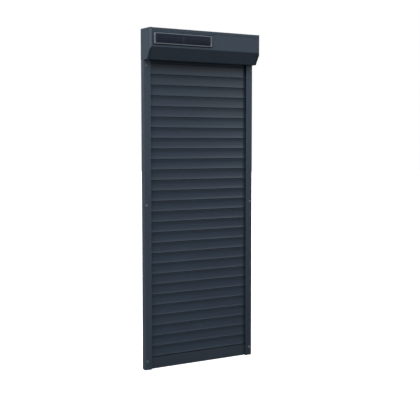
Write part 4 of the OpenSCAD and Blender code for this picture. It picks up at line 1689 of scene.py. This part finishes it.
@dataclass
class GuideRails:
    """Two extruded rails with lip seals, feet and the caps over their screw holes."""

    layout: Layout
    rib: float = 1.1 * MM
    groove: float = 7.0 * MM
    groove_h: float = 1.4 * MM
    groove_open: float = 3.8 * MM
    corner_radii: tuple[float, ...] = (0.8 * MM, 1.2 * MM, 1.0 * MM, 0.8 * MM)
    rib_r: float = 0.2 * MM
    chamber_r: float = 0.6 * MM
    lip_base: Pair = (6.8 * MM, 1.2 * MM)
    lip_w: float = 3.6 * MM
    lip_tip: float = 1.0 * MM
    lip_radii: tuple[float, ...] = (0.3 * MM, 0.3 * MM, 0.2 * MM, 0.8 * MM, 0.8 * MM)
    slat_t: float = 8.0 * MM
    foot_t: float = 4.0 * MM
    foot_r: float = 1.2 * MM
    foot_start: float = 0.1
    foot_steps: int = 5
    foot_radii: tuple[float, ...] = (
        1.0 * MM, 1.4 * MM, 1.2 * MM, 1.0 * MM, 0.8 * MM, 1.2 * MM, 1.2 * MM, 0.8 * MM,
    )
    foot_plug: float = 22.0 * MM
    notch: float = 6.0 * MM
    fix_in: float = 16.0 * MM
    hole_r: float = 3.25 * MM
    access_r: float = 7.0 * MM
    cap_r: float = 9.0 * MM
    cap_h: float = 2.6 * MM
    cap_rim: float = 0.7 * MM
    cap_dish: float = 1.4 * MM
    cap_crest: float = 0.6
    cap_middle: float = 0.06
    cap_rings: int = 15
    cap_sides: int = 40

    @property
    def rows(self) -> Array:
        """Heights of the three screw rows, from the record's mounts.

        Returns:
            The heights, from the lowest up.
        """
        mounts = {mount["name"]: mount for mount in frame["record"]["mounts"]}
        outer, middle = mounts["rail_fixings"], mounts["rail_middle_fixings"]
        reach = outer["dims"]["spacing_y_mm"] * MM / 2
        return np.array([outer["pos_m"][2] - reach, middle["pos_m"][2], outer["pos_m"][2] + reach])

    def ribs(self) -> Array:
        """Half of the channel's wall in (X, depth), from the channel's floor to the mouth.

        Returns:
            Points with the mouth at X = 0 and the wall's face at depth 0.
        """
        tall, far = self.groove_h + self.rib, 2 * self.rib + self.groove
        near_lip = self.rib + (self.groove - self.groove_open) / 2
        far_lip = self.rib + (self.groove + self.groove_open) / 2
        return np.array([
            [self.layout.channel, 0], [far, 0], [far, tall], [far_lip, tall], [far_lip, self.groove_h],
            [far - self.rib, self.groove_h], [far - self.rib, 0], [self.rib, 0], [self.rib, self.groove_h],
            [near_lip, self.groove_h], [near_lip, tall], [0, tall],
        ])

    def section(self) -> list[Outline]:
        """Section of the right-hand rail in (X, Y): the outer line with the channel, and the chamber.

        Returns:
            The outer line and the hole.
        """
        lay, ribs = self.layout, self.ribs()
        front, rear = ribs + (0, lay.wall - lay.rail_d), ribs[::-1] * (1, -1) - (0, lay.wall)
        points = np.vstack([rectangle((0, -lay.rail_d), (lay.rail_w, 0)), rear, front])
        radii = np.concatenate([self.corner_radii, np.full(2 * len(ribs), self.rib_r)])
        outer = Outline.rounded(points, radii)
        x, half = outer.points[:, 0], lay.rail_d / 2
        off_middle = np.abs(outer.points[:, 1] + half)
        in_channel = (x < lay.channel + NEAR) & (off_middle < half - lay.wall + NEAR)
        chamber = Outline.rounded(lay.chamber(0.0), self.chamber_r)
        # Painted shade inside the channel.
        return [outer.recessed(in_channel).moved(lay.x_mouth, 0), chamber.hole()]

    def build(self) -> None:
        """Builds the rails, the seals, the feet and the caps."""
        lay = self.layout
        places = spots(lay.x_rail - self.fix_in, 0.0, self.rows)
        rail = Shell.prism(self.section(), Axis.Z, lay.z_foot + self.foot_t, lay.z_box)
        hole = Shell.lathe(np.full(2, self.hole_r), (-2 * lay.wall, lay.wall), Axis.Y)
        face = (-lay.rail_d - lay.wall, -lay.rail_d + 2 * lay.wall)
        access = Shell.lathe(np.full(2, self.access_r), face, Axis.Y)
        drills = Shell.joined([hole, access]).copies(places)
        # The right-hand rail takes the darker coat, painted shade.
        for shell, cut, side, coat in (
            (rail, drills, "right", SHADED_RIGHT_RAIL_COAT),
            (rail.mirrored(), drills.mirrored(), "left", LEFT_RAIL_COAT),
        ):
            publish(shell, side + "_rail_coated", Body.FRAME, coat, side + "_rail", drills=cut)
        caps = self.cap().copies(places).both_sides()
        publish(self.seals(), "rail_lip_seals_rubber", Body.FRAME, RUBBER, "rail_lip_seals")
        publish(self.feet(), "rail_feet_moulded", Body.FRAME, GREY_PLASTIC, "rail_feet")
        publish(caps, "rail_caps_moulded", Body.FRAME, LIT_CAP_PLASTIC, "rail_caps")

    def seals(self) -> Shell:
        """Rubber lips on both walls of both channels: a flat base and a lip that thins to its tip.

        Returns:
            All four lips.
        """
        lay, (base_w, base_t) = self.layout, self.lip_base
        reach = (lay.rail_d - self.slat_t) / 2 - lay.wall - SLIDE
        wide, half, foot = base_w / 2, self.lip_w / 2, FIT + base_t
        right = np.array([
            [wide, FIT], [wide, foot], [half, foot], [half, self.groove_h + self.rib], [self.lip_tip, reach],
        ])
        line = np.roll(np.vstack([right, right[::-1] * (-1, 1)]), 1, 0)
        radii = np.roll(np.concatenate([self.lip_radii, self.lip_radii[::-1]]), 1)
        x = lay.x_mouth + self.rib + FIT + wide
        front = Outline.rounded(line, radii).moved(x, lay.wall - lay.rail_d)
        rear = Outline.rounded(line[::-1] * (1, -1), radii[::-1]).moved(x, -lay.wall)
        low, high = lay.z_foot + self.foot_t, lay.z_box
        return Shell.joined(Shell.prism([lip], Axis.Z, low, high) for lip in (front, rear)).both_sides()

    def feet(self) -> Shell:
        """Feet under the rails: a rounded plate with a notch for the curtain, and a hollow plug.

        Returns:
            Both feet.
        """
        lay, mid = self.layout, self.layout.y_curtain
        notch = rectangle((0, mid - self.notch), (lay.channel, mid + self.notch))[::-1]
        points = np.vstack([rectangle((0, -lay.rail_d), (lay.rail_w, 0)), notch])
        line = Outline.rounded(points, self.foot_radii).moved(lay.x_mouth, 0)
        turn = np.linspace(self.foot_start, QUARTER, self.foot_steps)
        inset = np.concatenate([self.foot_r * (1 - np.sin(turn)), [0.0]])
        rise = np.concatenate([[0.0], self.foot_r * (1 - np.cos(turn[1:])), [self.foot_t]])
        sections = line.points - inset[:, None, None] * line.normals
        plate = Shell.loft(sections, lay.z_foot + rise, Axis.Z, line.edge)
        z_plug = lay.z_foot + self.foot_t
        return Shell.joined([plate, lay.post(z_plug, z_plug + self.foot_plug)]).both_sides()

    def cap(self) -> Shell:
        """Cap over an access hole, turned on Y: a ring with a dished middle, and a plug.

        Outside its crest at radius a the ring falls along a quarter ellipse to a short upright
        rim, and inside it the dish sinks by d (1 - (r / a) squared).

        Returns:
            One cap on the origin's axis.
        """
        share = np.linspace(self.cap_middle, 1.0, self.cap_rings)
        beyond = np.clip((share - self.cap_crest) / (1 - self.cap_crest), 0, 1)
        fall = self.cap_rim + (self.cap_h - self.cap_rim) * np.sqrt(1 - beyond**2)
        dish = self.cap_h - self.cap_dish * (1 - (share / self.cap_crest) ** 2)
        plug_r = self.access_r - FIT
        radii = np.concatenate([self.cap_r * share, [self.cap_r, plug_r, plug_r]])
        rise = np.where(share < self.cap_crest, dish, fall)
        height = np.concatenate([rise, [0.0, 0.0, -2 * self.layout.wall]])
        # Painted highlight, lighter towards the ring's outer edge, broken up like scuffing.
        edge = np.concatenate([np.clip(share * 2 - 1, 0, 1), [0.5, 0.0, 0.0]])
        return Shell.lathe(radii, -self.layout.rail_d - height, Axis.Y, self.cap_sides, edge)


@dataclass
class SolarPanel:
    """Slim panel on the box's front: anodised frame, a black band of painted shade round it, glass with cells
    and four screws.
    """

    bezel_side: float = 13.0 * MM
    bezel_edge: float = 7.0 * MM
    back_t: float = 1.5 * MM
    corner: float = 3.0 * MM
    inner_corner: float = 1.2 * MM
    edge_r: float = 2.4 * MM
    lip_r: float = 0.8 * MM
    arc_steps: int = 5
    glass_r: float = 0.5 * MM
    shade_band_w: float = 4.5 * MM
    shade_band_t: float = 1.2 * MM
    screw: Screw = Screw(1.5 * MM, 3.0 * MM, 1.5 * MM)

    def build(self) -> None:
        """Builds the frame with its counterbores, the black band of painted shade, the glass and the screws.
        """
        low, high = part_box("panel_frame")
        places = self.screw_places(low, high)
        bore_r = np.full(2, self.screw.head_r + FIT)
        drills = Shell.lathe(bore_r, (-2 * self.screw.head_h, 0.0), Axis.Y).copies(places)
        bezel = self.bezel(low, high)
        publish(bezel, "panel_frame_anodised", Body.FRAME, BEZEL, "panel_frame", drills=drills)
        # Black band round the frame, painted shade for the shadow gap.
        publish(self.shade_band(low, high), "panel_shade_band", Body.FRAME, RUBBER)
        glass_low, glass_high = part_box("panel_glass")
        glass = Shell.slab(glass_low, glass_high, self.glass_r, Axis.Y)
        cells = replace(CELLS, centre=tuple((glass_low + glass_high) / 2))
        publish(glass, "panel_glass_cells", Body.FRAME, cells, "panel_glass")
        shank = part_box("panel_screws")[1].y - low.y - FIT - self.screw.head_h
        screws = self.screw.shell(shank, Axis.Y).copies(places)
        publish(screws, "panel_screws_turned", Body.FRAME, BRIGHT, "panel_screws")

    def shade_band(self, low: Vector, high: Vector) -> Shell:
        """Black strip on the sheet round the frame's foot, painted shade for the shadow gap there.

        Args:
            low: Lowest corner of the frame.
            high: Highest corner of the frame.

        Returns:
            The strip.
        """
        foot = rectangle((low.z, low.x), (high.z, high.x))
        outer = Outline.rounded(drawn_in(foot, -self.shade_band_w), self.corner + self.shade_band_w)
        lines = [outer, Outline.rounded(foot, self.corner).hole()]
        return Shell.prism(lines, Axis.Y, high.y - self.shade_band_t, high.y)

    def screw_places(self, low: Vector, high: Vector) -> Array:
        """Undersides of the four screw heads.

        Args:
            low: Lowest corner of the frame.
            high: Highest corner of the frame.

        Returns:
            One place per row.
        """
        inset = np.array([1, -1]) * self.bezel_side
        grid = np.meshgrid(np.array([low.x, high.x]) + inset / 2, np.array([low.z, high.z]) + inset)
        return spots(grid[0].ravel(), low.y + FIT + self.screw.head_h, grid[1].ravel())

    def bezel(self, low: Vector, high: Vector) -> Shell:
        """Frame with a recess for the glass.

        Ring k is a rectangle drawn in by (a, b) with corner radius c, at depth y. The rings
        run up the outer side, over its rounded edge, across the face and down the recess.

        Args:
            low: Lowest corner.
            high: Highest corner.

        Returns:
            The closed frame.
        """
        turn = np.linspace(0, QUARTER, self.arc_steps)
        near, far = 1 - np.cos(turn), 1 - np.sin(turn)
        bevel_in, lip_in = self.edge_r * near, -self.lip_r * far
        across = np.concatenate([[0], bevel_in, self.bezel_side + lip_in, [self.bezel_side]])
        upright = np.concatenate([[0], bevel_in, self.bezel_edge + lip_in, [self.bezel_edge]])
        outer, inner = self.corner, self.inner_corner
        corner = np.concatenate([[outer], outer - bevel_in, inner - lip_in, [inner]])
        front = low.y + np.concatenate([self.edge_r * far, self.lip_r * near])
        depth = np.concatenate([[high.y], front, [high.y - self.back_t]])
        half = np.stack([(high.z - low.z) / 2 - upright, (high.x - low.x) / 2 - across], axis=1)
        middle = np.array([(low.z + high.z) / 2, (low.x + high.x) / 2])
        edge = np.ones((len(depth), 1))
        edge[[0, -1]] = 0.0
        return Shell.loft(soft_rectangles(half, corner, self.arc_steps) + middle, depth, Axis.Y, edge)


@dataclass
class Winding:
    """Solids inside the box that keep their shape and get their finishes."""

    finishes: tuple[tuple[Finish, tuple[str, ...]], ...] = (
        (ZINC, ("motor_bracket", "bearing_bracket", "winding_tube")),
        (BRIGHT, ("idler_bearing",)),
        (MOTOR_SHELL, ("tube_motor",)),
        (SLEEVE, ("battery_pack",)),
        (RUBBER, ("inlet_lip",)),
        (BLACK_PLASTIC, ("inlet_guides", "battery_clips", "crown_ring", "drive_wheel")),
        (BLACK_PLASTIC, ("idler_plug", "lock_clips")),
    )

    def dress(self) -> None:
        """Gives each solid its finish."""
        for finish, nodes in self.finishes:
            for node in nodes:
                obj = frame["nodes"][node]
                if not obj.material_slots:
                    obj.data.materials.append(None)
                for slot in obj.material_slots:
                    slot.material = finish.material()
                log.info("%s: finished as %s", node, finish.name)


@dataclass(frozen=True)
class SoftBox:
    """One soft patch of light far away, round a direction seen from the shutter.

    Attributes:
        elevation: Its height over the horizon in degrees.
        azimuth: Its bearing in degrees, 0 in front of the shutter and positive to the right.
        fade: Cosines of the angles from its middle at which it begins and at which it is full.
        strength: Its strength.
        colour: Its colour.
    """

    elevation: float
    azimuth: float
    fade: Pair
    strength: float
    colour: Triple = (0.90, 0.95, 1.0)

    def direction(self) -> Triple:
        """Unit vector from the shutter to the patch: (cos e sin a, -cos e cos a, sin e)."""
        high, round_ = math.radians(self.elevation), math.radians(self.azimuth)
        return (math.cos(high) * math.sin(round_), -math.cos(high) * math.cos(round_), math.sin(high))


@dataclass(frozen=True)
class Lamp:
    """Soft rectangular lamp.

    Attributes:
        name: Its name.
        place: Its place.
        target: Point that it faces.
        size: Width and height.
        power: Power in watts.
        colour: Colour of its light.
    """

    name: str
    place: Triple
    target: Triple
    size: Pair
    power: float
    colour: Triple = (0.90, 0.95, 1.0)

    def build(self) -> None:
        """Adds the lamp to the scene."""
        data = bpy.data.lights.new(self.name, "AREA")
        data.shape, data.size, data.size_y = "RECTANGLE", *self.size
        data.energy, data.color = self.power, self.colour
        obj = linked(self.name, data)
        obj.location = self.place
        obj.rotation_euler = (Vector(self.target) - Vector(self.place)).to_track_quat("-Z", "Y").to_euler()


@dataclass
class Studio:
    """Camera at the photograph's angle, pale floor, white surroundings and soft lights."""

    layout: Layout
    location: Triple = (-3.128, -5.2284, 0.488)
    yaw: float = math.radians(31.736)
    pitch: float = math.radians(4.414)
    lens: float = 75.434
    sensor: float = 36.0
    clip_end: float = 200.0
    floor_r: float = 40.0
    floor_middle: float = 0.02
    floor_rings: int = 12
    floor_sides: int = 64
    floor_drop: float = 0.5 * MM
    floor_bounce: Triple = (0.085, 0.085, 0.085)
    floor_seen: Triple = (0.80, 0.80, 0.80)
    floor_fade: Pair = (1.0, 9.0)
    white: Triple = (1.0, 1.0, 1.0)
    horizon_light: Triple = (0.90, 0.95, 1.0)
    horizon: float = 0.41
    horizon_low: Pair = (-0.10, 0.0)
    horizon_high: Pair = (0.22, 0.40)
    boxes: tuple[SoftBox, ...] = (
        SoftBox(65.0, 0.0, (0.85, 0.95), 2.58),
        SoftBox(40.0, -75.0, (0.88, 0.97), 4.85, (1.05, 0.99, 1.0)),
        SoftBox(16.0, 34.0, (0.96, 0.99), 0.36),
        SoftBox(17.0, 48.0, (0.96, 0.99), 0.75),
        SoftBox(35.0, 105.0, (0.80, 0.95), 2.00),
        SoftBox(35.0, 165.0, (0.80, 0.95), 2.20),
    )
    lamps: tuple[Lamp, ...] = (
        Lamp("key", (-2.2, -2.0, 2.8), (0.0, 0.0, 0.3), (1.2, 1.2), 39.0),
        Lamp("fill", (2.2, -2.6, 1.0), (0.0, 0.0, 0.2), (0.8, 1.6), 1.4),
    )

    def build(self) -> None:
        """Sets up everything round the shutter."""
        self.camera()
        self.floor()
        self.surroundings()
        for lamp in self.lamps:
            lamp.build()
        view = bpy.context.scene.view_settings
        view.view_transform = "Standard"
        view.look = "None"

    def camera(self) -> None:
        """Makes the camera and puts it where the photograph was taken."""
        data = bpy.data.cameras.new("photo_camera")
        data.lens, data.sensor_width, data.clip_end = self.lens, self.sensor, self.clip_end
        obj = linked("photo_camera", data)
        obj.location = self.location
        obj.rotation_euler = (QUARTER - self.pitch, 0.0, -self.yaw)
        bpy.context.scene.camera = obj

    def floor(self) -> None:
        """Pale round floor at the feet: radius times (cos a, sin a) on a grid of rings."""
        rings, sides = self.floor_rings, self.floor_sides
        radius = self.floor_r * np.linspace(self.floor_middle, 1.0, rings)
        flat = turned(np.broadcast_to(circle(sides), (rings, sides)), radius[:, None])
        height = np.full((rings, sides, 1), self.layout.z_foot - self.floor_drop)
        points = np.concatenate([flat, height], axis=2).reshape(-1, 3)
        here, base = np.arange(sides), (np.arange(rings - 1) * sides)[:, None]
        follow = (here + 1) % sides
        quads = np.stack([base + here, base + sides + here, base + sides + follow, base + follow], -1)
        mesh = bpy.data.meshes.new("floor")
        mesh.from_pydata(points.tolist(), [], [here.tolist()] + quads.reshape(-1, 4).tolist())
        mesh.materials.append(self.floor_material())
        linked("floor", mesh)

    def floor_material(self) -> bpy.types.Material:
        """Pale matt floor that fades to white far out and bounces little light.

        Returns:
            The material.
        """
        made = bpy.data.materials.new("studio_floor")
        made.use_nodes = True
        graph = Graph(made.node_tree)
        seen = graph.add("LightPath").outputs["Is Camera Ray"]
        away = graph.vector("LENGTH", {0: graph.place()})["Value"]
        inputs = {
            "Base Color": graph.blend(seen, self.floor_bounce, self.floor_seen),
            "Roughness": 0.9,
            "Emission Color": self.white,
            "Emission Strength": graph.times(graph.ramp(away, self.floor_fade, 0.5), seen),
        }
        for key, value in inputs.items():
            graph.feed(made.node_tree.nodes["Principled BSDF"], key, value)
        return made

    def surroundings(self) -> None:
        """White behind the shutter; for its light a dim band at the horizon and the soft boxes.

        The band is a smooth step up and down over the height of a direction, and each box a smooth
        step over the cosine of the angle between a direction and the middle of the box.
        """
        world = bpy.data.worlds.new("studio")
        world.use_nodes = True
        bpy.context.scene.world = world
        world.node_tree.nodes.clear()
        graph, smooth = Graph(world.node_tree), {"interpolation_type": "SMOOTHSTEP"}
        way = graph.add("TexCoord").outputs["Generated"]
        up = graph.height(way)
        begin = graph.ramp(up, self.horizon_low, **smooth)
        level = graph.times(begin, graph.ramp(up, self.horizon_high, 1.0, 0.0, **smooth))
        band = scaled(self.horizon_light, self.horizon)
        glow = graph.vector("SCALE", {0: band, "Scale": level})[0]
        for box in self.boxes:
            near = graph.vector("DOT_PRODUCT", {0: way, 1: box.direction()})["Value"]
            share = graph.ramp(near, box.fade, **smooth)
            patch = graph.vector("SCALE", {0: scaled(box.colour, box.strength), "Scale": share})[0]
            glow = graph.vector("ADD", {0: glow, 1: patch})[0]
        dim, white = (graph.add("Background", {"Color": light}).outputs[0] for light in (glow, self.white))
        seen = graph.add("LightPath").outputs["Is Camera Ray"]
        both = graph.add("MixShader", {0: seen, 1: dim, 2: white})
        graph.add("OutputWorld", {"Surface": both.outputs[0]})


def main() -> None:
    """Builds every sub-assembly in order and reports it."""
    logging.basicConfig(level=logging.INFO, format="%(name)s: %(message)s")
    layout, hook = Layout.measured(), Hook()
    Studio(layout).build()
    HeadBox(layout).build()
    GuideRails(layout).build()
    Curtain(layout, hook).build()
    BottomBar(layout, hook).build()
    SolarPanel().build()
    Winding().dress()


if __name__ == "__main__":
    main()
